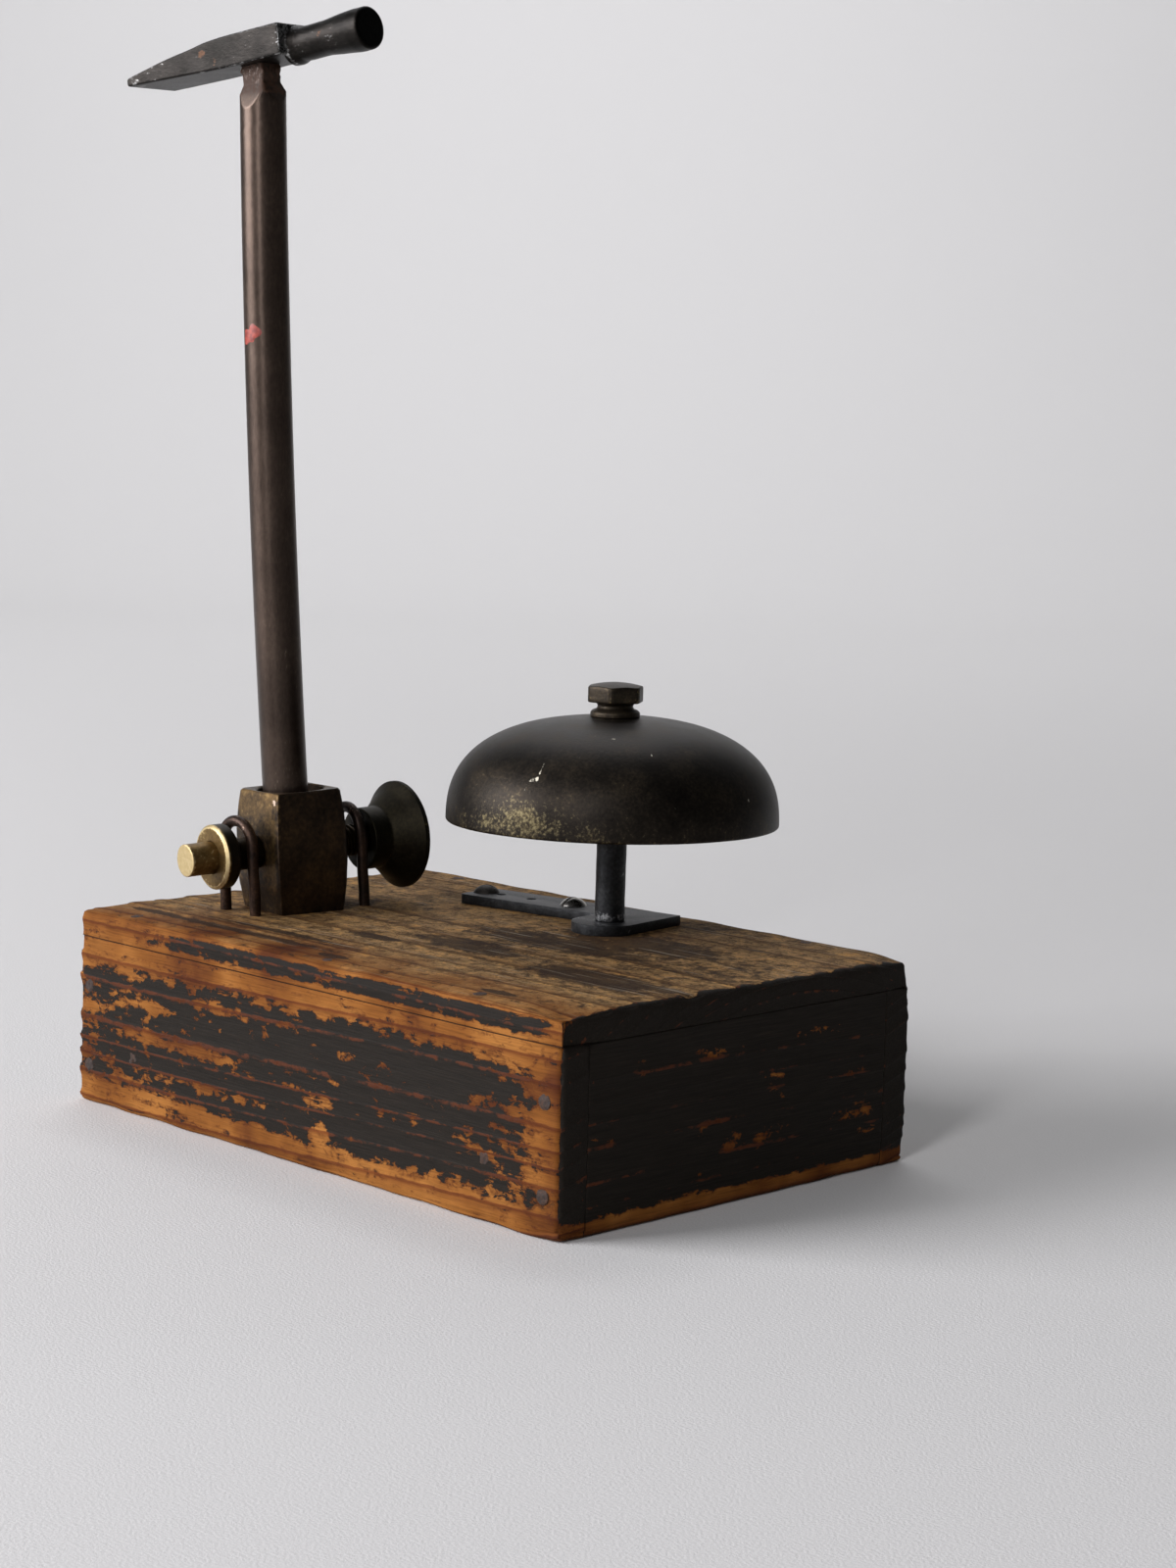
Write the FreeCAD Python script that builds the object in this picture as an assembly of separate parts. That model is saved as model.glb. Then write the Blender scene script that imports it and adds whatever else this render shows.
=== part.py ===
import FreeCAD, Part
import math
import os

from FreeCAD import Placement, Rotation, Vector

# A bell gong and a small hammer on a nailed wooden box. Sizes are in millimetres.
# The origin is the centre of the box's underside: +X runs along the box, +Y to its back and +Z up.

# Box
box_length = 137.0
box_width = 90.6
box_height = 38.5
top_thickness = 5.4
front_thickness = 6.6
back_thickness = 7.4
end_thickness = 7.6
floor_thickness = 16.0
corner_round = 2.6
edge_round = 1.2

# Nails
nail_radius = 0.75
nail_head_radius = 1.45
nail_head_thickness = 0.6
nail_length = 17.0
nail_point = 2.0
nail_end_inset = 4.1
nail_rows = (7.5, 23.5)
floor_nail_inset = 18.5
floor_nail_height = 11.2
top_nail_left_inset = 15.5
top_nail_middle_x = 5.0
top_nail_right_inset = 23.5

# Clearances
snug = 0.05
running = 0.06
loose = 0.3

# Bell
post_from_right_end = 55.4
post_from_back = 24.4
post_radius = 2.9
post_thread_radius = 2.4
post_rivet_radius = 2.0
gong_radius = 32.0
gong_height = 20.2
gong_rim_z = 59.6
gong_wall = 1.5
gong_squareness = 2.5
gong_hole_radius = 2.6
washer_radius = 4.6
washer_thickness = 1.0

# Waisted hexagon nut above the gong
nut_flange_radius = 4.75
nut_flange_height = 1.3
nut_waist_radius = 3.35
nut_waist_height = 1.5
nut_across_flats = 10.0
nut_hexagon_height = 3.8
nut_crown_drop = 0.9
nut_turn = -54.0
nut_thread_depth = 4.6

# Bracket: a flat bar with a lug that carries the post
bracket_turn = 8.0
bracket_thickness = 1.9
bar_width = 10.4
bar_left_reach = 40.9
bar_back_reach = 14.5
lug_radius = 6.4
lug_end_offset = 1.6
bracket_round = 0.8
bracket_screw_places = (-38.2, -16.0)
bracket_hole_places = (-34.3, -26.6)
bracket_hole_radius = 1.0

# Round-head wood screws
screw_head_radius = 2.7
screw_head_height = 1.6
screw_radius = 1.3
screw_length = 4.2
screw_slot_width = 0.6
screw_slot_depth = 0.6
screw_slot_turns = (20.0, 75.0)

# Clamp: a bulged square socket that leans a little, with a screw from each side
clamp_from_left_end = 25.45
clamp_from_front = 33.85
clamp_turn = -7.0
clamp_lean = 2.63
clamp_lean_azimuth = 242.0
socket_height = 23.9
socket_end_side = 14.8
socket_bulge = 0.85
socket_corner_round = 1.3
socket_sharp_round = 0.35
socket_mouth_chamfer = 0.35
bore_radius = 6.6
cross_height = 12.05
cross_screw_radius = 3.175

# Left stud and its round nut, by their distance from the socket's axis
stud_end = 24.2
stud_wall_gap = 0.15
round_nut_outer = 18.5
round_nut_thickness = 3.4
round_nut_radius = 6.35
round_nut_bevel = 0.5

# Clamp screw and thumb knob
knob_hub_start = 15.9
knob_hub_radius = 6.25
knob_hub_length = 4.0
knob_flare_length = 4.6
knob_flare_hollow = 0.12
knob_radius = 10.85
knob_rim_width = 1.5
knob_rim_round = 0.35
knob_dome = 0.8
knob_bore_depth = 6.0

# Staples over the two screws
staple_wire_radius = 1.1
staple_spacing = 9.2
staple_depth = 4.4
left_staple_place = -12.4
left_staple_height = 19.2
left_staple_turn = 7.0
left_staple_lean = 4.0
right_staple_place = 13.3
right_staple_height = 20.6
right_staple_turn = 0.0
right_staple_lean = 5.0

# Hammer
handle_radius = 4.45
handle_length = 163.2
handle_bow = 1.1
handle_foot_x = -0.16
handle_foot_y = -0.32
handle_top_x = -0.45
handle_top_y = -0.7
handle_foot_chamfer = 0.6
tenon_reach = 5.0
ground_length = 4.0
tenon_along = 5.5
tenon_across = 5.1
head_turn = 14.0
head_cock = 5.3
head_block_length = 15.6
head_block_front = 10.4
head_block_width = 10.6
head_block_top = 4.0
head_block_bottom = 2.0
peen_length = 30.4
peen_tip_width = 12.8
peen_tip_thickness = 1.0
peen_tip_rise = -0.2
peen_shoulder_rise = 2.5
poll_neck_radius = 3.15
poll_face_radius = 4.0
poll_length = 29.0
poll_face_width = 3.0
poll_face_chamfer = 0.4

# How far a cutting shape runs past what it cuts
overcut = 1.0


def save(node, shape):
    shape.exportStep(os.path.join("parts", node + ".step"))


def group(solids):
    return Part.makeCompound(solids)


def cylinder_between(start, end, radius):
    run = end - start
    return Part.makeCylinder(radius, run.Length, start, run)


def revolve_profile(edges):
    """Turn a closed outline in the XZ plane once round the Z axis."""
    face = Part.Face(Part.Wire(edges))
    return face.revolve(Vector(0, 0, 0), Vector(0, 0, 1), 360)


def lines_through(points):
    return [Part.makeLine(a, b) for a, b in zip(points, points[1:])]


def rounded(shape, radius, wanted):
    edges = [edge for edge in shape.Edges if wanted(edge)]
    return shape.makeFillet(radius, edges)


def upright(edge):
    a, b = (vertex.Point for vertex in edge.Vertexes)
    return abs(a.x - b.x) < 1e-6 and abs(a.y - b.y) < 1e-6


# Boards
outer_x = box_length / 2
outer_y = box_width / 2
wall_height = box_height - top_thickness
front_inner_y = -outer_y + front_thickness
back_inner_y = outer_y - back_thickness
end_inner_x = outer_x - end_thickness
post_x = outer_x - post_from_right_end
post_y = outer_y - post_from_back
clamp_x = clamp_from_left_end - outer_x
clamp_y = clamp_from_front - outer_y


def board(low, high):
    size = high - low
    return Part.makeBox(size.x, size.y, size.z, low)


def on_outside_corner(edge):
    centre = edge.CenterOfMass
    return upright(edge) and abs(abs(centre.x) - outer_x) < 1e-6 and abs(abs(centre.y) - outer_y) < 1e-6


def on_level_rim(z):
    def test(edge):
        centre = edge.CenterOfMass
        flat = all(abs(vertex.Point.z - z) < 1e-6 for vertex in edge.Vertexes)
        outside = abs(abs(centre.x) - outer_x) < corner_round or abs(abs(centre.y) - outer_y) < corner_round
        return flat and outside
    return test


def make_top_board():
    plain = board(Vector(-outer_x, -outer_y, wall_height), Vector(outer_x, outer_y, box_height))
    cornered = rounded(plain, corner_round, upright)
    return rounded(cornered, edge_round, on_level_rim(box_height))


def make_long_board(inner_y, outer_face_y):
    low_y, high_y = sorted((inner_y, outer_face_y))
    plain = board(Vector(-outer_x, low_y, 0), Vector(outer_x, high_y, wall_height))
    return rounded(plain, corner_round, on_outside_corner)


def make_end_board(side):
    low_x, high_x = sorted((side * end_inner_x, side * outer_x))
    return board(Vector(low_x, front_inner_y, 0), Vector(high_x, back_inner_y, wall_height))


def make_floor_board():
    return board(Vector(-end_inner_x, front_inner_y, 0), Vector(end_inner_x, back_inner_y, floor_thickness))


# Nails
def nail(head_centre, inward, grow=0.0):
    """One wire nail set flush; grown by a clearance, it is the tool that cuts its own hole."""
    head = Part.makeCylinder(nail_head_radius + grow, nail_head_thickness + grow, head_centre, inward)
    shank_start = head_centre + inward * nail_head_thickness
    shank_length = nail_length - nail_point + grow
    shank = Part.makeCylinder(nail_radius + grow, shank_length, shank_start, inward)
    point_start = shank_start + inward * shank_length
    point = Part.makeCone(nail_radius + grow, 0, nail_point, point_start, inward)
    return head.fuse([shank, point]).removeSplitter()


def long_board_nail_places(face_y):
    end_x = outer_x - nail_end_inset
    floor_x = outer_x - floor_nail_inset
    places = [Vector(side * end_x, face_y, z) for side in (-1, 1) for z in nail_rows]
    return places + [Vector(side * floor_x, face_y, floor_nail_height) for side in (-1, 1)]


def top_nail_positions():
    front_y = -outer_y + front_thickness / 2
    back_y = outer_y - back_thickness / 2
    places = (-outer_x + top_nail_left_inset, top_nail_middle_x, outer_x - top_nail_right_inset)
    return [Vector(x, y, box_height) for y in (front_y, back_y) for x in places]


nail_sets = {
    "front_nails": (long_board_nail_places(-outer_y), Vector(0, 1, 0)),
    "back_nails": (long_board_nail_places(outer_y), Vector(0, -1, 0)),
    "top_nails": (top_nail_positions(), Vector(0, 0, -1)),
}


def make_nails(name, grow=0.0):
    places, inward = nail_sets[name]
    return [nail(place, inward, grow) for place in places]


# Bracket
bracket_place = Placement(Vector(post_x, post_y, box_height), Rotation(Vector(0, 0, 1), bracket_turn))
bar_front_reach = bar_back_reach - bar_width
bar_middle = bar_back_reach - bar_width / 2
bracket_top_z = box_height + bracket_thickness


def bracket_outline():
    """The bar's rectangle run into the lug, whose free end is a half circle."""
    left_front = Vector(-bar_left_reach, bar_front_reach, 0)
    left_back = Vector(-bar_left_reach, bar_back_reach, 0)
    right_back = Vector(lug_radius, bar_back_reach, 0)
    lug_right = Vector(lug_radius, -lug_end_offset, 0)
    lug_tip = Vector(0, -lug_end_offset - lug_radius, 0)
    lug_left = Vector(-lug_radius, -lug_end_offset, 0)
    lug_inner = Vector(-lug_radius, bar_front_reach, 0)
    edges = lines_through([lug_left, lug_inner, left_front, left_back, right_back, lug_right])
    edges.append(Part.Arc(lug_right, lug_tip, lug_left).toShape())
    return Part.Wire(edges)


def make_bracket():
    plate = Part.Face(bracket_outline()).extrude(Vector(0, 0, bracket_thickness))
    plate = rounded(plate, bracket_round, lambda edge: len(edge.Vertexes) == 2 and upright(edge)
                    and edge.CenterOfMass.x < -lug_radius)
    through = Vector(0, 0, -overcut)
    depth = bracket_thickness + 2 * overcut
    cuts = [Part.makeCylinder(post_rivet_radius + snug, depth, through)]
    for x in bracket_screw_places:
        cuts.append(Part.makeCylinder(screw_radius + snug, depth, through + Vector(x, bar_middle, 0)))
    for x in bracket_hole_places:
        cuts.append(Part.makeCylinder(bracket_hole_radius, depth, through + Vector(x, bar_middle, 0)))
    plate = plate.cut(cuts)
    plate.Placement = bracket_place
    return plate


def make_bracket_screws():
    cap_radius = (screw_head_radius ** 2 + screw_head_height ** 2) / (2 * screw_head_height)
    screws = []
    for x, turn in zip(bracket_screw_places, screw_slot_turns):
        ball = Part.makeSphere(cap_radius, Vector(0, 0, screw_head_height - cap_radius))
        cap = ball.common(Part.makeCylinder(screw_head_radius, screw_head_height))
        slot_length = 2 * screw_head_radius
        slot = Part.makeBox(slot_length, screw_slot_width, screw_slot_depth,
                            Vector(-slot_length / 2, -screw_slot_width / 2, screw_head_height - screw_slot_depth))
        slot.rotate(Vector(0, 0, 0), Vector(0, 0, 1), turn)
        shank = Part.makeCylinder(screw_radius, screw_length, Vector(0, 0, -screw_length))
        screw = cap.cut(slot).fuse(shank).removeSplitter()
        screw.Placement = bracket_place * Placement(Vector(x, bar_middle, bracket_thickness), Rotation())
        screws.append(screw)
    return screws


def screw_holes_in_board():
    holes = []
    for x in bracket_screw_places:
        top = bracket_place.multVec(Vector(x, bar_middle, overcut))
        depth = overcut + screw_length - bracket_thickness + snug
        holes.append(Part.makeCylinder(screw_radius + snug, depth, top, Vector(0, 0, -1)))
    return holes


# Gong, its post and its nut
gong_crown_z = gong_rim_z + gong_height


def dome_height(radius, height, reach):
    """Height above the rim of a squared-off quarter ellipse at a distance from its axis."""
    return height * (1 - (reach / radius) ** gong_squareness) ** (1 / gong_squareness)


gong_seat_z = gong_rim_z + dome_height(gong_radius - gong_wall, gong_height - gong_wall, washer_radius)
post_shoulder_z = gong_seat_z - washer_thickness
nut_hexagon_z = gong_crown_z + nut_flange_height + nut_waist_height
nut_top_z = nut_hexagon_z + nut_hexagon_height
post_axis = Vector(post_x, post_y, 0)


def dome_curve(radius, height, hole_radius):
    """The wall's profile from the rim up to the edge of the hole in the crown."""
    power = 2 / gong_squareness
    hole_angle = math.acos((hole_radius / radius) ** (1 / power))
    steps = 12
    points = []
    for step in range(steps + 1):
        angle = hole_angle * step / steps
        reach = radius * math.cos(angle) ** power
        points.append(Vector(reach, 0, gong_rim_z + height * math.sin(angle) ** power))
    curve = Part.BSplineCurve()
    curve.interpolate(points)
    return curve.toShape(), points[0], points[-1]


def make_gong():
    outer, outer_rim, outer_crown = dome_curve(gong_radius, gong_height, gong_hole_radius)
    inner, inner_rim, inner_crown = dome_curve(gong_radius - gong_wall, gong_height - gong_wall, gong_hole_radius)
    rim = Part.makeLine(inner_rim, outer_rim)
    hole = Part.makeLine(outer_crown, inner_crown)
    shell = revolve_profile([outer, hole, inner, rim])
    shell.translate(post_axis)
    return shell


def make_gong_post():
    shaft_length = post_shoulder_z - bracket_top_z
    shaft = Part.makeCylinder(post_radius, shaft_length, Vector(0, 0, bracket_top_z))
    rivet = Part.makeCylinder(post_rivet_radius, bracket_thickness, Vector(0, 0, box_height))
    thread_top = gong_crown_z + nut_thread_depth - loose
    thread = Part.makeCylinder(post_thread_radius, thread_top - post_shoulder_z, Vector(0, 0, post_shoulder_z))
    post = shaft.fuse([rivet, thread]).removeSplitter()
    post.translate(post_axis)
    return post


def make_gong_washer():
    ring = Part.makeCylinder(washer_radius, washer_thickness, Vector(0, 0, post_shoulder_z))
    ring = ring.cut(Part.makeCylinder(gong_hole_radius, washer_thickness, Vector(0, 0, post_shoulder_z)))
    ring.translate(post_axis)
    return ring


def make_gong_nut():
    """A turned flange and waist below a hexagon whose top is domed by a cone and a ball."""
    flange_top = gong_crown_z + nut_flange_height
    profile = lines_through([
        Vector(0, 0, gong_crown_z),
        Vector(nut_flange_radius, 0, gong_crown_z),
        Vector(nut_flange_radius, 0, flange_top - nut_flange_height / 3),
        Vector(nut_flange_radius - nut_flange_height / 3, 0, flange_top),
    ])
    waist_start = Vector(nut_flange_radius - nut_flange_height / 3, 0, flange_top)
    waist_end = Vector(nut_flange_radius - nut_flange_height / 3, 0, nut_hexagon_z)
    waist_middle = Vector(nut_waist_radius, 0, (flange_top + nut_hexagon_z) / 2)
    profile.append(Part.Arc(waist_start, waist_middle, waist_end).toShape())
    core_top = nut_hexagon_z + nut_hexagon_height / 2
    profile += lines_through([
        waist_end,
        Vector(waist_end.x, 0, core_top),
        Vector(0, 0, core_top),
        Vector(0, 0, gong_crown_z),
    ])
    turned = revolve_profile(profile)

    corner_radius = nut_across_flats / 2 / math.cos(math.radians(30))
    corners = [Vector(corner_radius * math.cos(math.radians(60 * k + nut_turn)),
                      corner_radius * math.sin(math.radians(60 * k + nut_turn)), nut_hexagon_z) for k in range(7)]
    hexagon = Part.Face(Part.Wire(lines_through(corners))).extrude(Vector(0, 0, nut_hexagon_height))
    dome_radius = (corner_radius ** 2 + nut_crown_drop ** 2) / (2 * nut_crown_drop)
    dome = Part.makeSphere(dome_radius, Vector(0, 0, nut_top_z - dome_radius))
    hexagon = hexagon.common(dome)
    thread_hole = Part.makeCylinder(post_thread_radius + snug, nut_thread_depth, Vector(0, 0, gong_crown_z))
    nut = turned.fuse(hexagon).removeSplitter().cut(thread_hole)
    nut.translate(post_axis)
    return nut


# Clamp frame: X across, Y along the two screws and Z up the bore
lean_way = Vector(math.cos(math.radians(clamp_lean_azimuth)), math.sin(math.radians(clamp_lean_azimuth)), 0)
lean_axis = Vector(0, 0, 1).cross(lean_way)
upright_turn = Rotation(Vector(0, 0, 1), clamp_turn)
clamp_place = Placement(Vector(clamp_x, clamp_y, box_height), Rotation(lean_axis, clamp_lean) * upright_turn)
socket_mid_side = socket_end_side + 2 * socket_bulge


def bulged_slab(along):
    """A slab with two bulged faces, square to the other slab, that crosses the whole socket."""
    foot = -overcut
    half_end = socket_end_side / 2
    half_mid = socket_mid_side / 2
    middle = socket_height / 2
    corners = [Vector(side * half_end, 0, z) for z in (foot, socket_height) for side in (-1, 1)]
    low_left, low_right, high_left, high_right = corners
    outline = [
        Part.makeLine(low_left, low_right),
        Part.Arc(low_right, Vector(half_mid, 0, middle), high_right).toShape(),
        Part.makeLine(high_right, high_left),
        Part.Arc(high_left, Vector(-half_mid, 0, middle), low_left).toShape(),
    ]
    slab = Part.Face(Part.Wire(outline)).extrude(Vector(0, 2 * socket_mid_side, 0))
    slab.translate(Vector(0, -socket_mid_side, 0))
    if along == "Y":
        slab.rotate(Vector(0, 0, 0), Vector(0, 0, 1), 90)
    return slab


def corner_edge(x_side, y_side):
    def test(edge):
        centre = edge.CenterOfMass
        tall = edge.BoundBox.ZLength > socket_height / 2
        return tall and centre.x * x_side > 0 and centre.y * y_side > 0
    return test


def make_socket_barrel():
    """Two crossed bulged slabs make the four-sided barrel; its corner nearest the front stays the sharpest."""
    body = bulged_slab("X").common(bulged_slab("Y"))
    body = rounded(body, socket_sharp_round, corner_edge(1, -1))
    for x_side, y_side in ((1, 1), (-1, 1), (-1, -1)):
        body = rounded(body, socket_corner_round, corner_edge(x_side, y_side))
    bore_length = socket_height + 4 * overcut
    bore = Part.makeCylinder(bore_radius, bore_length, Vector(0, 0, -2 * overcut))
    mouth = Part.makeCone(bore_radius, bore_radius + socket_mouth_chamfer, socket_mouth_chamfer,
                          Vector(0, 0, socket_height - socket_mouth_chamfer))
    side_hole = Part.makeCylinder(cross_screw_radius + running, 2 * socket_mid_side,
                                  Vector(0, -socket_mid_side, cross_height), Vector(0, 1, 0))
    body = body.cut([bore, mouth, side_hole])
    body.Placement = clamp_place
    below = board(Vector(clamp_x - box_height, clamp_y - box_height, 0),
                  Vector(clamp_x + box_height, clamp_y + box_height, box_height))
    return body.cut(below)


def cross_cylinder(radius, start, end):
    shape = cylinder_between(Vector(0, start, cross_height), Vector(0, end, cross_height), radius)
    shape.Placement = clamp_place
    return shape


def make_left_stud():
    inner_end = -(bore_radius + stud_wall_gap)
    return cross_cylinder(cross_screw_radius, -stud_end, inner_end)


def on_cross_axis(shape):
    """Take a shape turned round Z to the cross axis, with its Z running along +Y of the clamp."""
    lay = Placement(Vector(0, 0, cross_height), Rotation(Vector(1, 0, 0), -90))
    shape.Placement = clamp_place * lay
    return shape


def make_round_nut():
    outer = -round_nut_outer
    inner = outer + round_nut_thickness
    hole = cross_screw_radius + snug
    edge = round_nut_radius - round_nut_bevel
    profile = lines_through([
        Vector(hole, 0, outer),
        Vector(edge, 0, outer),
        Vector(round_nut_radius, 0, outer + round_nut_bevel),
        Vector(round_nut_radius, 0, inner - round_nut_bevel),
        Vector(edge, 0, inner),
        Vector(hole, 0, inner),
        Vector(hole, 0, outer),
    ])
    return on_cross_axis(revolve_profile(profile))


# Hammer handle's place in the bore: its foot and head lie on the bore's direction, bowed between
bow_way = clamp_place.Rotation.inverted().multVec(lean_way)
bow_way = Vector(bow_way.x, bow_way.y, 0).normalize()


def bow_at(height):
    share = height / handle_length
    return 4 * handle_bow * share * (1 - share)


def handle_centre(height):
    foot = Vector(handle_foot_x, handle_foot_y, 0)
    top = Vector(handle_top_x, handle_top_y, handle_length)
    return foot + (top - foot) * (height / handle_length) + bow_way * bow_at(height)


foot_slope = math.atan(4 * handle_bow / handle_length)
foot_rise = loose + handle_radius * math.sin(math.radians(clamp_lean) + foot_slope)
screw_tip = handle_centre(cross_height).y + handle_radius + loose
knob_rim_start = knob_hub_start + knob_hub_length + knob_flare_length
knob_face = knob_rim_start + knob_rim_width
knob_bore_end = knob_hub_start + knob_bore_depth


def make_clamp_screw():
    return cross_cylinder(cross_screw_radius, screw_tip, knob_bore_end - loose)


def make_thumb_knob():
    """A turned hub that flares like a trumpet to a thin rim, with a slightly domed face."""
    hub_end = knob_hub_start + knob_hub_length
    hole = cross_screw_radius + running
    rim_edge = knob_radius - knob_rim_round
    edges = lines_through([
        Vector(0, 0, knob_bore_end),
        Vector(hole, 0, knob_bore_end),
        Vector(hole, 0, knob_hub_start),
        Vector(knob_hub_radius - knob_rim_round, 0, knob_hub_start),
        Vector(knob_hub_radius, 0, knob_hub_start + knob_rim_round),
        Vector(knob_hub_radius, 0, hub_end),
    ])
    flare_start = Vector(knob_hub_radius, 0, hub_end)
    flare_end = Vector(rim_edge, 0, knob_rim_start)
    chord = flare_end - flare_start
    hollow = Vector(-chord.z, 0, chord.x) * knob_flare_hollow
    edges.append(Part.Arc(flare_start, (flare_start + flare_end) * 0.5 + hollow, flare_end).toShape())
    face_start = Vector(rim_edge, 0, knob_face)
    edges += lines_through([
        flare_end,
        Vector(knob_radius, 0, knob_rim_start + knob_rim_round),
        Vector(knob_radius, 0, knob_face - knob_rim_round),
        face_start,
    ])
    dome_radius = (rim_edge ** 2 + knob_dome ** 2) / (2 * knob_dome)
    dome_centre = knob_face + knob_dome - dome_radius
    face_middle = Vector(rim_edge / 2, 0, dome_centre + math.sqrt(dome_radius ** 2 - (rim_edge / 2) ** 2))
    face_centre = Vector(0, 0, knob_face + knob_dome)
    edges.append(Part.Arc(face_start, face_middle, face_centre).toShape())
    edges.append(Part.makeLine(face_centre, Vector(0, 0, knob_bore_end)))
    return on_cross_axis(revolve_profile(edges))


# Staples
def staple_wire(place, height, turn, lean, grow=0.0):
    """An upside-down U of wire whose legs go into the top board; it straddles the screw at this place."""
    screw_point = clamp_place.multVec(Vector(0, place, cross_height))
    centre = Vector(screw_point.x, screw_point.y, box_height)
    half = staple_spacing / 2
    foot = -staple_depth - grow
    shoulder = height - staple_wire_radius - half
    radius = staple_wire_radius + grow
    left_leg = Part.makeCylinder(radius, shoulder - foot, Vector(-half, 0, foot))
    right_leg = Part.makeCylinder(radius, shoulder - foot, Vector(half, 0, foot))
    arch = Part.makeTorus(half, radius, Vector(0, 0, shoulder), Vector(0, 1, 0))
    room = 2 * (half + radius)
    upper = Part.makeBox(room, room, room, Vector(-room / 2, -room / 2, shoulder))
    wire = left_leg.fuse([right_leg, arch.common(upper)]).removeSplitter()
    lean_back = Rotation(Vector(1, 0, 0), lean)
    wire.Placement = Placement(centre, upright_turn * Rotation(Vector(0, 0, 1), turn) * lean_back)
    drift = (screw_point.z - box_height) * math.tan(math.radians(lean))
    wire.translate(upright_turn.multVec(Vector(0, drift, 0)))
    return wire


staples = {
    "left_staple": (left_staple_place, left_staple_height, left_staple_turn, left_staple_lean),
    "right_staple": (right_staple_place, right_staple_height, right_staple_turn, right_staple_lean),
}


# Hammer
rod_end = handle_length - tenon_reach
head_rotation = Rotation(Vector(0, 0, 1), head_turn) * Rotation(Vector(0, 1, 0), -head_cock)
tenon_place = clamp_place * Placement(handle_centre(rod_end), head_rotation)
head_place = tenon_place * Placement(Vector(0, 0, tenon_reach + head_block_bottom), Rotation())
tenon_length = tenon_reach + head_block_bottom + head_block_top


def square_wire(along, across, z):
    corners = [Vector(x * along / 2, y * across / 2, z) for x, y in ((-1, -1), (1, -1), (1, 1), (-1, 1), (-1, -1))]
    return Part.Wire(lines_through(corners))


def make_hammer_handle():
    """A round rod with a slight bow; its top is ground down to a square tenon that fills the head's eye."""
    foot = handle_centre(foot_rise)
    top = handle_centre(handle_length)
    path = Part.Wire([Part.Arc(foot, handle_centre(handle_length / 2), top).toShape()])
    section = Part.Wire([Part.makeCircle(handle_radius, foot, path.Edges[0].tangentAt(0))])
    rod = Part.Solid(path.makePipe(Part.Face(section)))
    foot_edges = [edge for edge in rod.Edges if edge.CenterOfMass.z < foot.z + overcut
                  and isinstance(edge.Curve, Part.Circle)]
    rod = rod.makeChamfer(handle_foot_chamfer, foot_edges)
    rod.Placement = clamp_place

    below = Part.makeBox(2 * handle_length, 2 * handle_length, 2 * handle_length,
                         Vector(-handle_length, -handle_length, -2 * handle_length - ground_length))
    facets = Part.makeLoft([
        square_wire(2 * handle_radius, 2 * handle_radius, -ground_length),
        square_wire(tenon_along, tenon_across, 0),
    ], True, True)
    tenon = Part.makeBox(tenon_along, tenon_across, tenon_length, Vector(-tenon_along / 2, -tenon_across / 2, 0))
    for shape in (below, facets, tenon):
        shape.Placement = tenon_place
    return rod.common(below.fuse(facets)).fuse(tenon).removeSplitter()


def make_hammer_head():
    """A forged cross-peen head: side and top outlines cross to make the wedge, and the poll is turned."""
    block_back = head_block_front - head_block_length
    tip_top = Vector(-peen_length, 0, peen_tip_rise + peen_tip_thickness / 2)
    tip_bottom = Vector(-peen_length, 0, peen_tip_rise - peen_tip_thickness)
    shoulder = Vector(block_back, 0, head_block_top)
    halfway = Vector((block_back - peen_length) / 2, 0, peen_shoulder_rise)
    front_top = Vector(head_block_front, 0, head_block_top)
    front_bottom = Vector(head_block_front, 0, -head_block_bottom)
    back_bottom = Vector(block_back, 0, -head_block_bottom)
    side_edges = [Part.Arc(tip_top, halfway, shoulder).toShape()]
    side_edges += lines_through([shoulder, front_top, front_bottom, back_bottom, tip_bottom, tip_top])
    room = 2 * peen_tip_width
    side_view = Part.Face(Part.Wire(side_edges)).extrude(Vector(0, room, 0))
    side_view.translate(Vector(0, -room / 2, 0))

    half_block = head_block_width / 2
    half_tip = peen_tip_width / 2
    plan_points = [(head_block_front, -half_block), (head_block_front, half_block), (block_back, half_block),
                   (-peen_length, half_tip), (-peen_length, -half_tip), (block_back, -half_block),
                   (head_block_front, -half_block)]
    plan = Part.Face(Part.Wire(lines_through([Vector(x, y, -room / 2) for x, y in plan_points])))
    wedge = side_view.common(plan.extrude(Vector(0, 0, room)))

    poll_start = head_block_front - overcut
    face_start = poll_length - poll_face_width
    profile = lines_through([
        Vector(0, 0, poll_start),
        Vector(poll_neck_radius, 0, poll_start),
        Vector(poll_neck_radius, 0, head_block_front + overcut),
    ])
    neck_end = Vector(poll_neck_radius, 0, head_block_front + overcut)
    swell_end = Vector(poll_face_radius, 0, face_start)
    swell_middle = Vector(poll_neck_radius + (poll_face_radius - poll_neck_radius) / 4, 0,
                          (neck_end.z + swell_end.z) / 2)
    profile.append(Part.Arc(neck_end, swell_middle, swell_end).toShape())
    profile += lines_through([
        swell_end,
        Vector(poll_face_radius, 0, poll_length - poll_face_chamfer),
        Vector(poll_face_radius - poll_face_chamfer, 0, poll_length),
        Vector(0, 0, poll_length),
        Vector(0, 0, poll_start),
    ])
    poll = revolve_profile(profile)
    poll.rotate(Vector(0, 0, 0), Vector(0, 1, 0), 90)

    eye_height = head_block_top + head_block_bottom + 2 * overcut
    eye = Part.makeBox(tenon_along + 2 * snug, tenon_across + 2 * snug, eye_height,
                       Vector(-tenon_along / 2 - snug, -tenon_across / 2 - snug, -head_block_bottom - overcut))
    head = wedge.fuse(poll).removeSplitter().cut(eye)
    head.Placement = head_place
    return head


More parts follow.
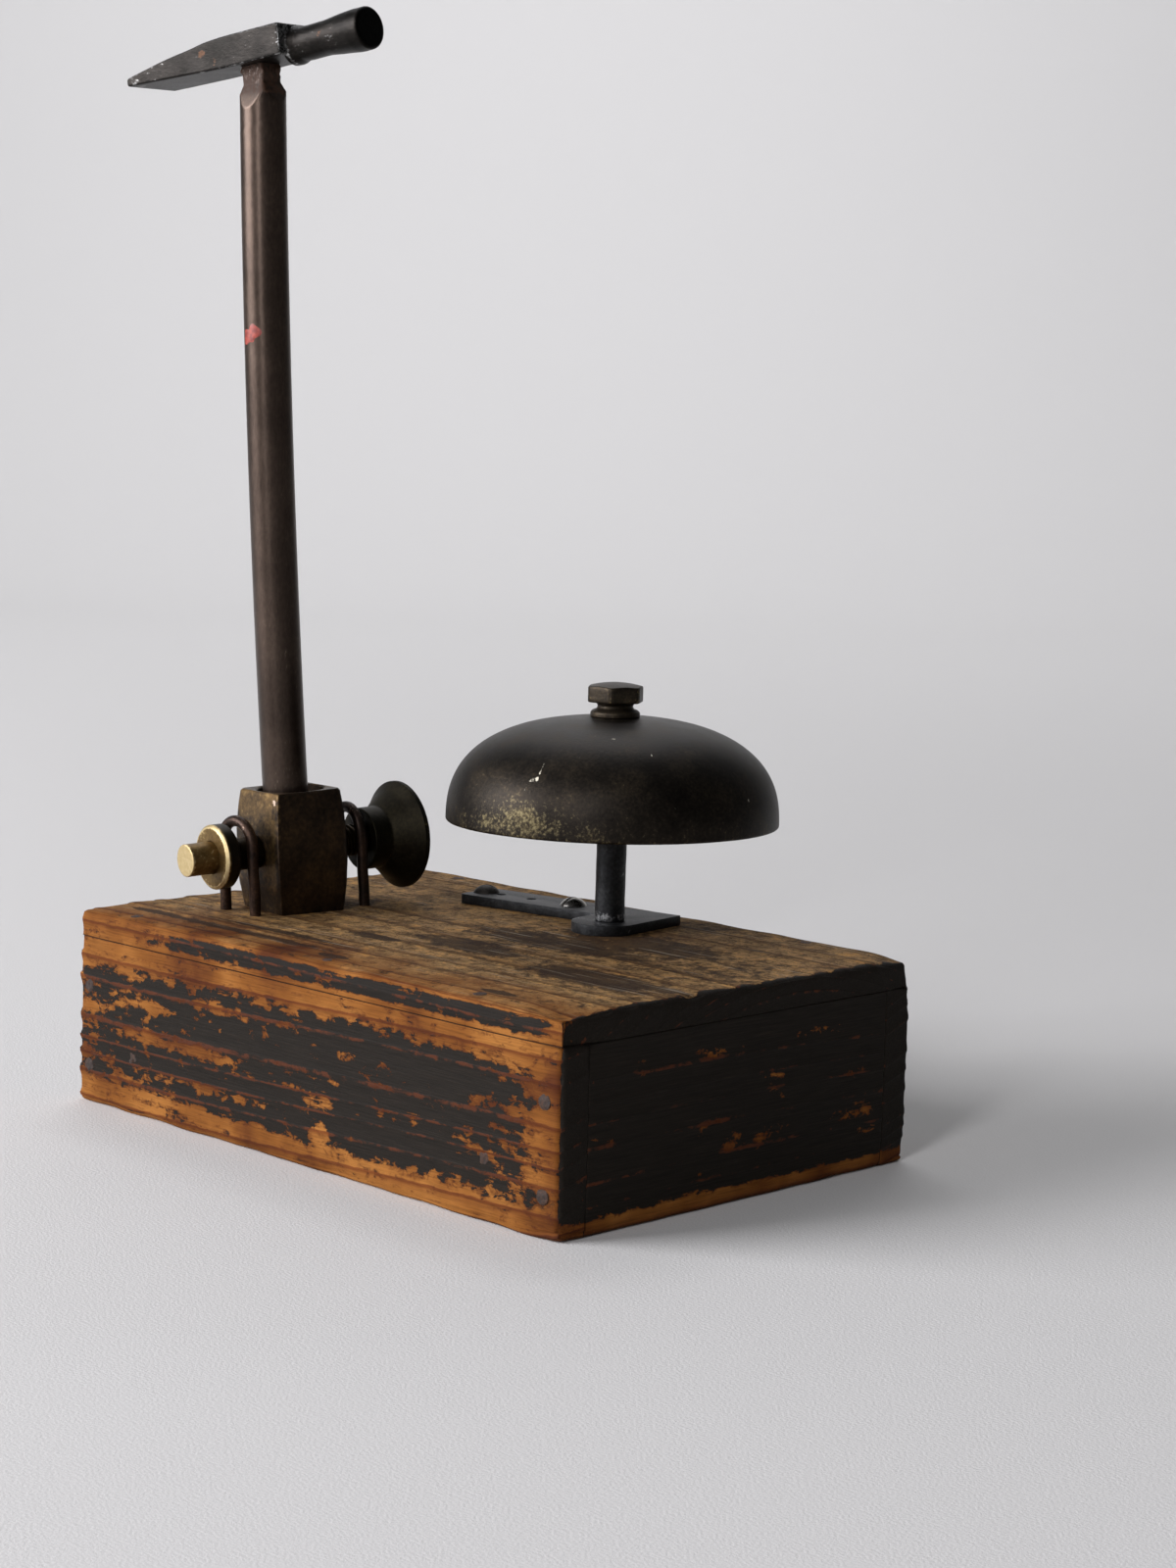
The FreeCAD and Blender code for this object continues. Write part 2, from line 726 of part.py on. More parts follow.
# Boards with the holes that their fasteners make
top_cuts = make_nails("top_nails", snug) + screw_holes_in_board()
top_cuts += [staple_wire(*sizes, grow=snug) for sizes in staples.values()]
front_cuts = make_nails("front_nails", snug) + make_nails("top_nails", snug)
back_cuts = make_nails("back_nails", snug) + make_nails("top_nails", snug)
inner_cuts = make_nails("front_nails", snug) + make_nails("back_nails", snug)

os.makedirs("parts", exist_ok=True)
save("top_board", make_top_board().cut(top_cuts))
save("front_board", make_long_board(front_inner_y, -outer_y).cut(front_cuts))
save("back_board", make_long_board(back_inner_y, outer_y).cut(back_cuts))
save("left_end_board", make_end_board(-1).cut(inner_cuts))
save("right_end_board", make_end_board(1).cut(inner_cuts))
save("floor_board", make_floor_board().cut(inner_cuts))
for nail_set in nail_sets:
    save(nail_set, group(make_nails(nail_set)))
save("bracket", make_bracket())
save("bracket_screws", group(make_bracket_screws()))
save("gong_post", make_gong_post())
save("gong_washer", make_gong_washer())
save("gong", make_gong())
save("gong_nut", make_gong_nut())
save("socket_barrel", make_socket_barrel())
save("left_stud", make_left_stud())
save("round_nut", make_round_nut())
for staple, sizes in staples.items():
    save(staple, staple_wire(*sizes))
save("clamp_screw", make_clamp_screw())
save("thumb_knob", make_thumb_knob())
save("hammer_handle", make_hammer_handle())
save("hammer_head", make_hammer_head())

bore_run = handle_centre(socket_height) - handle_centre(foot_rise)
slide_way = clamp_place.Rotation.multVec(bore_run.normalize())
cross_way = clamp_place.Rotation.multVec(Vector(0, 1, 0))
cross_point = clamp_place.multVec(Vector(0, 0, cross_height))
print("lift direction", tuple(round(v, 6) for v in slide_way))
print("cross axis direction", tuple(round(v, 6) for v in cross_way))
print("cross axis point", tuple(round(v, 4) for v in cross_point))
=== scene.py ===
import math

import bpy
import bmesh
import numpy as np
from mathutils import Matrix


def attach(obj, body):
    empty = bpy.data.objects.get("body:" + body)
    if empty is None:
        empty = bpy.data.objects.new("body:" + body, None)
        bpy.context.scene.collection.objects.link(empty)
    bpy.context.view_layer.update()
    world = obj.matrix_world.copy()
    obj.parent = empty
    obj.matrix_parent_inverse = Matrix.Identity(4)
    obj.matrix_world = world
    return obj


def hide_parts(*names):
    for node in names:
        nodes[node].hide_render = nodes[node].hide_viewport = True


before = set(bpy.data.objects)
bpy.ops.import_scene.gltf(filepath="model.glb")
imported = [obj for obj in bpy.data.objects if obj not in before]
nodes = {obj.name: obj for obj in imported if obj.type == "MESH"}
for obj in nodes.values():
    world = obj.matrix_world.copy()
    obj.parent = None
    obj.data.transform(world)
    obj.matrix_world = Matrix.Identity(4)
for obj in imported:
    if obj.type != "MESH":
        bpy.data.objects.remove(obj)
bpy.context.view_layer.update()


# Camera and studio
# The view stands a little above the box's right-front corner, as the photograph does.
# A pale sweep of painted board runs from under the object up behind it, lit softly from the left.
def linear(colour):
    """An sRGB hex colour as linear red, green, blue and alpha."""
    parts = [int(colour[k:k + 2], 16) / 255 for k in (1, 3, 5)]
    return [p / 12.92 if p <= 0.04045 else ((p + 0.055) / 1.055) ** 2.4 for p in parts] + [1.0]


def feed(tree, node, links):
    """Give a node's inputs a value, a hex colour, an output socket, or a node's first live output."""
    for name, value in links.items():
        if isinstance(value, bpy.types.Node):
            value = next(socket for socket in value.outputs if socket.enabled)
        if isinstance(value, bpy.types.NodeSocket):
            tree.links.new(value, node.inputs[name])
        else:
            node.inputs[name].default_value = linear(value) if isinstance(value, str) else value


def add(tree, kind, links=None, stops=None, **settings):
    """Add one shader node with its links and settings; stops are a ramp's places and colours."""
    made = tree.nodes.new("ShaderNode" + kind)
    for name, value in settings.items():
        setattr(made, name, value)
    feed(tree, made, links or {})
    if stops:
        ramp = made.color_ramp
        while len(ramp.elements) < len(stops):
            ramp.elements.new(1.0)
        for element, (place, colour) in zip(ramp.elements, stops):
            element.position = place
            element.color = linear(colour) if isinstance(colour, str) else (colour, colour, colour, 1.0)
    return made


def stored(tree, *names):
    """The piece's own attributes of these names, as one value each."""
    return [add(tree, "Attribute", attribute_name=name).outputs["Fac"] for name in names]


def new_material(name):
    """An empty material, its tree and shader, and the object's own coordinates in millimetres."""
    material = bpy.data.materials.new(name)
    material.use_nodes = True
    tree = material.node_tree
    tree.nodes.clear()
    shader = add(tree, "BsdfPrincipled")
    add(tree, "OutputMaterial", {0: shader})
    place = add(tree, "TexCoord").outputs["Object"]
    millimetres = add(tree, "Mapping", {0: place, "Scale": (1000, 1000, 1000)})
    return material, tree, shader, millimetres


def place_in_scene(made, x_axis, y_axis, z_axis, origin):
    """Put a camera or a lamp into the scene, turned to these axes, at this place in metres."""
    pose = np.eye(4)
    pose[:3] = np.column_stack([x_axis, y_axis, z_axis, origin])
    made.matrix_world = pose.T.tolist()
    bpy.context.scene.collection.objects.link(made)


camera_place = (0.40382, -0.37446, 0.13315)
camera_yaw = math.radians(45.16)
camera_dip = math.radians(6.818)
camera_roll = math.radians(1.486)
frame_height_px = 1600
focal_px = 2982.2
sensor_mm = 36.0

level_ahead = np.array([-math.sin(camera_yaw), math.cos(camera_yaw), 0.0])
level_right = np.array([math.cos(camera_yaw), math.sin(camera_yaw), 0.0])
ahead = math.cos(camera_dip) * level_ahead - [0, 0, math.sin(camera_dip)]
level_up = np.cross(level_right, ahead)
right = math.cos(camera_roll) * level_right + math.sin(camera_roll) * level_up
up = -math.sin(camera_roll) * level_right + math.cos(camera_roll) * level_up
camera = bpy.data.objects.new("camera", bpy.data.cameras.new("camera"))
camera.data.sensor_width = sensor_mm
camera.data.lens = focal_px / frame_height_px * sensor_mm
camera.data.clip_start = 0.01
place_in_scene(camera, right, up, -ahead, camera_place)
bpy.context.scene.camera = camera


def put_mesh(name, points, quads, triangles=None):
    """Points in millimetres, quads and triangles as whole arrays, put into one mesh in metres."""
    mesh = bpy.data.meshes.new(name)
    triangles = np.zeros((0, 3), int) if triangles is None else triangles
    corners = np.concatenate([quads.ravel(), triangles.ravel()])
    sizes = np.concatenate([np.full(len(quads), 4), np.full(len(triangles), 3)])
    mesh.vertices.add(len(points))
    mesh.vertices.foreach_set("co", (points / 1000).ravel())
    mesh.loops.add(len(corners))
    mesh.loops.foreach_set("vertex_index", corners)
    mesh.polygons.add(len(sizes))
    mesh.polygons.foreach_set("loop_start", np.concatenate([[0], np.cumsum(sizes)[:-1]]))
    mesh.polygons.foreach_set("use_smooth", np.ones(len(sizes), bool))
    mesh.update(calc_edges=True)
    mesh.validate()
    made = bpy.data.objects.new(name, mesh)
    bpy.context.scene.collection.objects.link(made)
    return made


def grid_quads(rows, columns, wrap=False):
    """Corner numbers of the quads between neighbouring rows and columns of a grid of points."""
    row = np.arange(rows - 1)[:, None]
    column = np.arange(columns if wrap else columns - 1)[None, :]
    after = (column + 1) % columns
    quads = np.stack([row * columns + column, row * columns + after,
                      (row + 1) * columns + after, (row + 1) * columns + column], -1)
    return quads.reshape(-1, 4)


sweep_half_width = 3000.0
sweep_front = -2200.0
sweep_bend_start = 1500.0
sweep_bend = 900.0
sweep_top = 3200.0
bend_angle = np.linspace(0, math.pi / 2, 24)
sweep_out = np.concatenate([[sweep_front, 0], sweep_bend_start + sweep_bend * np.sin(bend_angle),
                            [sweep_bend_start + sweep_bend]])
sweep_up = np.concatenate([[0, 0], sweep_bend * (1 - np.cos(bend_angle)), [sweep_top]])
sweep_across = np.linspace(-sweep_half_width, sweep_half_width, 3)
sweep_points = sweep_out[:, None, None] * level_ahead + sweep_across[None, :, None] * level_right
sweep_points[..., 2] = sweep_up[:, None]
sweep = put_mesh("sweep", sweep_points.reshape(-1, 3), grid_quads(len(sweep_out), 3)[:, ::-1])

# Emulsion on board: a fine grain of about half a millimetre, almost fully matt.
wall_paint, tree, shader, mm = new_material("emulsion on board")
stipple = add(tree, "TexNoise", {"Vector": mm, "Scale": 1.9, "Detail": 5.0})
relief = add(tree, "Bump", {"Height": stipple, "Strength": 0.3, "Distance": 0.0003})
feed(tree, shader, {"Base Color": "#D3D2D0", "Roughness": 0.85, "Normal": relief})
sweep.data.materials.append(wall_paint)

# Four soft lights: a big window at the left, a narrow gap between curtains at the right, the ceiling's
# glow, and one that lifts the wall behind. Each has its place, what it faces, its size, watts and colour.
object_middle = (0.0, 0.0, 0.06)
wall_behind = (-1.7, 1.85, 0.5)
softboxes = {
    "window": ((-0.8, -1.15, 0.6), object_middle, (1.0, 0.8), 33.0, "#FBFAFF"),
    "curtain gap": ((0.42, -1.05, 0.6), object_middle, (0.2, 0.8), 6.5, "#FBFAFF"),
    "ceiling": ((-0.2, 0.1, 1.7), object_middle, (1.6, 1.6), 1.3, "#FFFFFF"),
    "backdrop": ((-1.0, 0.85, 1.9), wall_behind, (1.2, 1.2), 27.0, "#FAFAFF"),
}
for name, (place, target, size, watts, colour) in softboxes.items():
    light = bpy.data.lights.new(name, "AREA")
    light.shape = "RECTANGLE"
    light.size, light.size_y = size
    light.energy = watts
    light.color = linear(colour)[:3]
    z_axis = np.subtract(place, target)
    z_axis /= np.linalg.norm(z_axis)
    x_axis = np.cross([0, 0, 1], z_axis)
    x_axis /= np.linalg.norm(x_axis)
    place_in_scene(bpy.data.objects.new(name, light), x_axis, np.cross(z_axis, x_axis), z_axis, place)

world = bpy.data.worlds.new("room")
world.use_nodes = True
feed(world.node_tree, world.node_tree.nodes["Background"], {"Color": "#DEE0E4", "Strength": 0.12})
bpy.context.scene.world = world
bpy.context.scene.view_settings.view_transform = "Standard"


# Boards of the box
# Pine boards, sawn, planed and nailed, then painted charcoal and worn back to the wood for decades.
# The soft early wood has worn lower than the hard late wood, so the rings stand up and scallop the ends.
box_length = 137.0
box_width = 90.6
box_height = 38.5
top_thickness = 5.4
front_thickness = 6.6
back_thickness = 7.4
end_thickness = 7.6
floor_thickness = 16.0
joint_round = 0.25
board_step = 0.55
outer = np.array([box_length / 2, box_width / 2])
wall_height = box_height - top_thickness
front_inside = -outer[1] + front_thickness
back_inside = outer[1] - back_thickness
end_inside = outer[0] - end_thickness


def ripple(points, wave, seed, stretch=(1, 1, 1)):
    """Smooth noise of about -1 to 1: fourteen plane waves of about this wavelength, in random ways, added."""
    rng = np.random.default_rng(seed)
    ways = rng.normal(size=(14, 3))
    ways /= np.linalg.norm(ways, axis=1)[:, None]
    rates = 2 * np.pi / wave * rng.uniform(0.6, 1.7, 14)
    shifts = rng.uniform(0, 2 * np.pi, 14)
    return np.cos((points / np.array(stretch)) @ (ways * rates[:, None]).T + shifts).sum(-1) / 5


def ease(value, low, high):
    """0 below low, 1 above high and a smooth S between them."""
    t = np.clip((value - low) / (high - low), 0, 1)
    return t * t * (3 - 2 * t)


def bell(value, middle, width):
    """1 at the middle and falling off evenly on both sides, to 0.37 at this width from it."""
    return np.exp(-((value - middle) / width) ** 2)


def block_grid(low, high, step):
    """The six faces of a block as one closed grid; lines crowd near the edges, where it is rounded."""
    crowd = np.array([0.12, 0.3, 0.6, 1.0, 1.5, 2.1])
    lines = []
    for a, b in zip(low, high):
        near = crowd[crowd < (b - a) / 2.2]
        middle = np.linspace(a + near[-1], b - near[-1], max(2, int((b - a - 2 * near[-1]) / step) + 1))
        lines.append(np.concatenate([[a], a + near[:-1], middle, b - near[:-1][::-1], [b]]))
    points, quads, count = [], [], 0
    for axis in range(3):
        u, v = [k for k in range(3) if k != axis]
        for end in (0, -1):
            face = np.zeros((len(lines[u]), len(lines[v]), 3))
            face[..., u] = lines[u][:, None]
            face[..., v] = lines[v][None, :]
            face[..., axis] = lines[axis][end]
            corners = grid_quads(len(lines[u]), len(lines[v])) + count
            outward = (end == -1) == (axis != 1)
            quads.append(corners[:, ::-1] if outward else corners)
            points.append(face.reshape(-1, 3))
            count += face.shape[0] * face.shape[1]
    points = np.concatenate(points)
    quads = np.concatenate(quads)
    _, first, same = np.unique(np.round(points, 4), axis=0, return_index=True, return_inverse=True)
    return points[first], same.reshape(-1)[quads]


def rounded_in(points, low, high, radius):
    """Bring points outside a block with rounded edges to its surface, straight towards its core.

    Returns the points, the ways that they face, and which of them lie on the block's own skin."""
    radius = np.broadcast_to(radius, len(points))[:, None]
    core = np.clip(points, low + radius, high - radius)
    out = points - core
    reach = np.linalg.norm(out, axis=1)[:, None]
    scale = np.where(reach > radius, radius / np.maximum(reach, 1e-9), 1.0)
    return core + out * scale, out / np.maximum(reach, 1e-9), reach[:, 0] >= radius[:, 0] - joint_round - 0.01


def ring_number(points, pith_y, pith_z, spacing, seed):
    """Growth ring at each point: distance from the tree's pith over the ring spacing, with uneven years."""
    drift_y, drift_z = [1.1 * ripple(points, 90, seed + k, (3, 1, 1)) for k in (0, 1)]
    reach = np.hypot(points[:, 1] - pith_y + drift_y, points[:, 2] - pith_z + drift_z)
    rings = reach / spacing
    return rings + 0.32 * np.sin(rings * 0.83 + seed) + 0.2 * np.sin(rings * 1.9 + 2 * seed)


def late_wood(rings):
    """How far a point is into the dark, hard end of its year's ring, from 0 to 1."""
    year = rings - np.floor(rings)
    return ease(year, 0.45, 0.85) * (1 - ease(year, 0.94, 1.0))


def blots(points, places, u=0, v=1):
    """Soft ellipses added up; each place has a centre, two half sizes and a strength."""
    total = np.zeros(len(points))
    for centre_u, centre_v, half_u, half_v, strength in places:
        reach = ((points[:, u] - centre_u) / half_u) ** 2 + ((points[:, v] - centre_v) / half_v) ** 2
        total += strength * np.exp(-reach * reach)
    return total


body_low = np.array([-outer[0], -outer[1], 0.0])
body_high = np.array([outer[0], outer[1], box_height])
# Place, reach and depth of the wear on the box's corners.
corner_wear = ((68.5, -45.3, 38.5, 8.0, 1.3), (-68.5, -45.3, 38.5, 7.0, 0.3), (68.5, 45.3, 38.5, 6.0, 1.0),
               (68.5, -45.3, 0.0, 6.0, 0.7), (68.5, 45.3, 0.0, 6.0, 0.5))
# Centre x and z, half sizes and strength of the bare patches and bands seen on the front.
front_bare = ((6.3, 12.9, 5.5, 2.3, 0.75), (6.5, 7.2, 3.6, 2.2, 0.8), (-3.0, 14.0, 3.5, 1.5, 0.5),
              (25.0, 14.0, 4.0, 0.8, 0.5), (32.0, 15.0, 2.0, 1.6, 0.5), (50.0, 13.5, 7.0, 2.0, 0.4),
              (-18.0, 25.0, 17.0, 1.1, 0.65), (-31.0, 16.0, 22.0, 1.6, 0.6), (-22.0, 9.0, 22.0, 1.4, 0.55),
              (-47.0, 22.0, 12.0, 1.2, 0.4), (14.0, 22.5, 4.0, 0.9, 0.35), (49.0, 21.0, 5.0, 1.4, 0.45),
              (43.0, 6.4, 9.0, 0.9, 0.45))
# Centre x and z, half sizes and strength of the rust stains round the front nails.
nail_stains = ((64.4, 7.0, 3.6, 2.6, 0.52), (64.4, 23.5, 2.2, 2.0, 0.42), (-64.4, 7.5, 3.0, 2.8, 0.52),
               (-64.4, 23.5, 3.4, 2.4, 0.5), (50.0, 11.2, 1.8, 1.8, 0.36), (-50.0, 11.2, 2.0, 1.8, 0.36))
# Centre y and z, half sizes and strength of the rubbed patches on the right end.
end_bare = ((-9.0, 14.5, 4.5, 1.9, 0.74), (4.0, 11.0, 11.0, 2.4, 0.7), (30.0, 12.0, 7.0, 2.0, 0.74),
            (34.0, 7.5, 4.0, 1.6, 0.68), (-37.0, 9.0, 5.0, 2.4, 0.62), (-8.0, 27.5, 8.0, 1.6, 0.6),
            (20.0, 28.0, 8.0, 1.6, 0.62), (-12.0, 6.5, 3.0, 2.4, 0.62), (-34.0, 17.0, 4.0, 2.0, 0.6),
            (30.0, 19.0, 3.0, 1.6, 0.6), (8.0, 20.0, 3.0, 3.4, 0.6), (-26.0, 28.0, 3.0, 1.8, 0.56))
# Centre x and y, half sizes and strength of the dirt on the top: soaked patches, knots and a dark grain line.
top_dirt = ((15.0, 3.0, 20.0, 7.0, 0.22), (47.0, -17.0, 16.0, 6.0, 0.3), (10.0, -12.5, 16.0, 5.0, 0.24),
            (25.0, 16.0, 20.0, 7.0, 0.24), (-8.0, -20.0, 6.0, 1.6, 0.55), (2.8, -39.4, 3.4, 1.1, 0.9),
            (46.0, -39.0, 3.6, 1.0, 0.8), (-54.8, -36.2, 7.0, 1.2, 0.6), (-22.0, -31.0, 16.0, 1.0, 0.5),
            (-30.0, -36.6, 26.0, 1.3, 0.34), (62.0, -14.0, 6.0, 1.3, 0.3), (50.0, 8.0, 24.0, 16.0, 0.08))


# How the boards are worn, in millimetres: the outer edges are rounded unevenly, the early wood is hollowed
# on every face and deeper at the edges and ends, and the sheltered sides are worn least.
edge_round = 1.7
edge_round_spread = 0.45
edge_round_least = 1.0
edge_round_most = 2.5
early_wood_hollow = 0.05
right_end_hollow = 0.015
front_edge_bite = 0.2
back_edge_bite = 0.05
left_end_bite = 0.34
right_end_bite = 0.1
edge_reach = 2.6
end_reach = 1.6
edge_nibble = 0.05
planing_wave = 0.03


def wear_board(points, rings, seed):
    """Round the box's outer edges, then wear each outer face inwards: more at edges and in early wood."""
    edge_radius = edge_round + edge_round_spread * ripple(points, 16, seed)
    edge_radius = np.clip(edge_radius, edge_round_least, edge_round_most)
    shaped, outward, on_skin = rounded_in(points, body_low, body_high, edge_radius)
    inset = np.minimum(points - body_low, body_high - points)
    near_edge = np.exp(-np.sort(inset, axis=1)[:, 1] / edge_reach)
    near_end = np.exp(-inset[:, 0] / end_reach) * (points[:, 2] < wall_height)
    soft = 1 - late_wood(rings)
    end_bite = np.where(points[:, 0] < 0, left_end_bite, right_end_bite)
    side_bite = np.where(points[:, 1] < 0, front_edge_bite, back_edge_bite)
    hollow = np.where(points[:, 0] > outer[0] - 0.05, right_end_hollow, early_wood_hollow)
    depth = (hollow + side_bite * near_edge + end_bite * near_end) * soft
    depth += edge_nibble * near_edge * (1 + ripple(points, 5, seed + 2, (3, 1, 1)))
    depth += planing_wave * (1 + ripple(points, 11, seed + 3))
    for x, y, z, reach, deep in corner_wear:
        gap = np.sqrt(((points - np.array([x, y, z])) ** 2).sum(1))
        depth += deep * bell(gap, 0, reach)
    depth *= on_skin * ease(points[:, 2], -0.1, 0.8)
    return shaped - outward * depth[:, None], outward


# Where the paint starts or stops, each as the two places between which it changes: heights over the table
# for the front's main field, the strip under its top edge and the ends' bare foot, and places along the box.
paint_from_foot = (4.0, 7.0)
paint_to_top = (26.6, 30.4)
strip_from = (33.6, 34.8)
strip_to = (36.6, 37.8)
strip_starts = (-52, -26)
strip_ends = (60, 66)
end_foot = (1.5, 4.6)
left_half = (-60, -8)
left_bare = (-68, -58)
right_bare = (48, 66)


def paint_left(points, outward, seed):
    """How much of the charcoal paint is left on each outer face: about 0 is bare and 1 is whole."""
    x, y, z = points.T
    up_face = ease(outward[:, 2], 0.5, 0.85)
    end_face = ease(np.abs(outward[:, 0]), 0.55, 0.85)
    long_face = (1 - up_face) * (1 - end_face)
    middle = ease(z, *paint_from_foot) * (1 - ease(z, *paint_to_top))
    lengthways = 0.56 + 0.36 * ease(x, *left_half)
    lengthways -= 0.8 * ease(x, *right_bare) + 0.3 * (1 - ease(x, *left_bare))
    edge_strip = ease(z, *strip_from) * (1 - ease(z, *strip_to))
    edge_strip *= ease(x, *strip_starts) * (1 - ease(x, *strip_ends))
    along = middle * lengthways + 0.88 * edge_strip + 0.09 * ripple(points, 24, seed, (2.5, 1, 0.5))
    along -= blots(points, front_bare, 0, 2) * np.where(y < 0, 1.0, 0.4)
    rubbed_corner = np.exp(-((np.abs(y) - outer[1]) ** 2 + (z - box_height) ** 2) / 20) * (y < 0)
    ends = 1.22 - 1.6 * (1 - ease(z, *end_foot)) - blots(points, end_bare, 1, 2) - 1.4 * rubbed_corner
    ends += 0.06 * ripple(points, 15, seed + 1, (1, 1.8, 0.8))
    top = -1.0 + 2.3 * ease(np.abs(x) + 0.9 * ripple(points, 7, seed + 4), outer[0] - 3.2, outer[0] - 0.2)
    return long_face * along + end_face * ends + up_face * top


def add_attribute(made, name, values):
    """Store one value or one vector a point on a piece, for its material to read."""
    kind, field = ("FLOAT", "value") if values.ndim == 1 else ("FLOAT_VECTOR", "vector")
    made.data.attributes.new(name, kind, "POINT").data.foreach_set(field, values.astype(np.float32).ravel())


def finish_piece(made, body, slot, material, *replaced, sharp=None):
    """Give a piece its material and its body, and hide the CAD nodes that it stands for; the slot is not
    used.
    """
    made.data.materials.append(material)
    if sharp is not None:
        made.data.set_sharp_from_angle(angle=math.radians(sharp))
    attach(made, body)
    if replaced:
        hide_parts(*replaced)


# Old painted pine: orange early wood, red-brown late wood, grey-brown where the weather reached it,
# and a thin, brittle charcoal paint that has flaked along the grain; all of it dry and matt.
def painted_pine():
    """The layers from the wood outwards. Every Scale is a count to the millimetre."""
    material, tree, shader, mm = new_material("worn charcoal paint on pine")
    rings, paint, grey, dirt = stored(tree, "rings", "paint", "grey", "dirt")
    log = add(tree, "Attribute", attribute_name="log").outputs["Vector"]

    # Wood: a ring a year with a hard dark end, fibres of 0.3 mm drawn out along the log, blotches of 17 mm.
    fibre_space = add(tree, "Mapping", {0: log, "Scale": (0.035, 1.0, 1.0)})
    fibre = add(tree, "TexNoise", {"Vector": fibre_space, "Scale": 3.2, "Detail": 4.0, "Roughness": 0.65})
    blotch = add(tree, "TexNoise", {"Vector": mm, "Scale": 0.06, "Detail": 3.0})
    waver = add(tree, "TexNoise", {"Vector": mm, "Scale": 0.35, "Detail": 3.0})
    wavered = add(tree, "Math", {0: waver, 1: 0.12, 2: rings}, operation="MULTIPLY_ADD")
    year = add(tree, "Math", {0: wavered}, operation="FRACT")
    late = add(tree, "ValToRGB", {0: year},
               stops=((0.0, 0.0), (0.55, 0.05), (0.8, 0.4), (0.9, 1.0), (0.965, 0.9), (1.0, 0.0)))
    early_colour = add(tree, "ValToRGB", {0: blotch},
                       stops=((0.3, "#522A10"), (0.46, "#7A4A1D"), (0.66, "#9A652F")))
    late_colour = add(tree, "ValToRGB", {0: blotch}, stops=((0.35, "#3C180B"), (0.65, "#5F2C12")))
    ring_share = add(tree, "Math", {0: late, 1: 0.8}, operation="MULTIPLY")
    ringed = add(tree, "Mix", {"Factor": ring_share, 6: early_colour, 7: late_colour}, data_type="RGBA")
    fibre_shade = add(tree, "ValToRGB", {0: fibre}, stops=((0.3, 0.6), (0.5, 0.95), (0.7, 1.12)))
    wood = add(tree, "Mix", {"Factor": 1.0, 6: ringed, 7: fibre_shade},
               data_type="RGBA", blend_type="MULTIPLY")

    # Weathered top: the same rings, gone grey-brown and rough as sand, with grains from 3 mm down.
    sand = add(tree, "TexNoise", {"Vector": mm, "Scale": 0.3, "Detail": 9.0, "Roughness": 0.82})
    sand_part = add(tree, "Math", {0: sand, 1: 0.72}, operation="MULTIPLY")
    granular = add(tree, "Math", {0: fibre, 1: 0.28, 2: sand_part}, operation="MULTIPLY_ADD")
    silver = add(tree, "ValToRGB", {0: granular},
                 stops=((0.37, "#3A2812"), (0.45, "#664D30"), (0.52, "#896D48"), (0.62, "#B08145")))
    silver_rings = add(tree, "Mix", {"Factor": ring_share, 6: silver, 7: "#4A3119"}, data_type="RGBA")
    sand_shade = add(tree, "ValToRGB", {0: sand}, stops=((0.36, 0.6), (0.5, 1.05), (0.64, 1.3)))
    sandy = add(tree, "Mix", {"Factor": 0.6, 6: silver_rings, 7: sand_shade},
                data_type="RGBA", blend_type="MULTIPLY")
    grey_noise = add(tree, "Math", {0: blotch, 1: 0.9, 2: grey}, operation="MULTIPLY_ADD")
    grey_share = add(tree, "MapRange", {0: grey_noise, 1: 0.7, 2: 1.15})

    # Soot and grease soaked into the top: ragged dark patches, pits of 0.7 mm and torn whitish fibres.
    stain_space = add(tree, "Mapping", {0: log, "Scale": (0.75, 1.0, 1.0)})
    stain = add(tree, "TexNoise", {"Vector": stain_space, "Scale": 0.42, "Detail": 8.0, "Roughness": 0.74,
                                   "Distortion": 0.5})
    soaked = add(tree, "Math", {0: stain, 1: dirt}, operation="ADD")
    stain_share = add(tree, "MapRange", {0: soaked, 1: 0.6, 2: 0.72, 4: 0.85})
    pit = add(tree, "TexNoise", {"Vector": stain_space, "Scale": 1.5, "Detail": 3.0, "Roughness": 0.7})
    pit_share = add(tree, "MapRange", {0: pit, 1: 0.6, 2: 0.66})
    pit_on_grey = add(tree, "Math", {0: pit_share, 1: grey_share}, operation="MULTIPLY")
    torn_space = add(tree, "Mapping", {0: log, "Scale": (0.03, 1.0, 1.0)})
    torn = add(tree, "TexNoise", {"Vector": torn_space, "Scale": 1.7, "Detail": 2.0})
    torn_share = add(tree, "MapRange", {0: torn, 1: 0.66, 2: 0.7, 4: 0.5})
    torn_on_grey = add(tree, "Math", {0: torn_share, 1: grey}, operation="MULTIPLY", use_clamp=True)

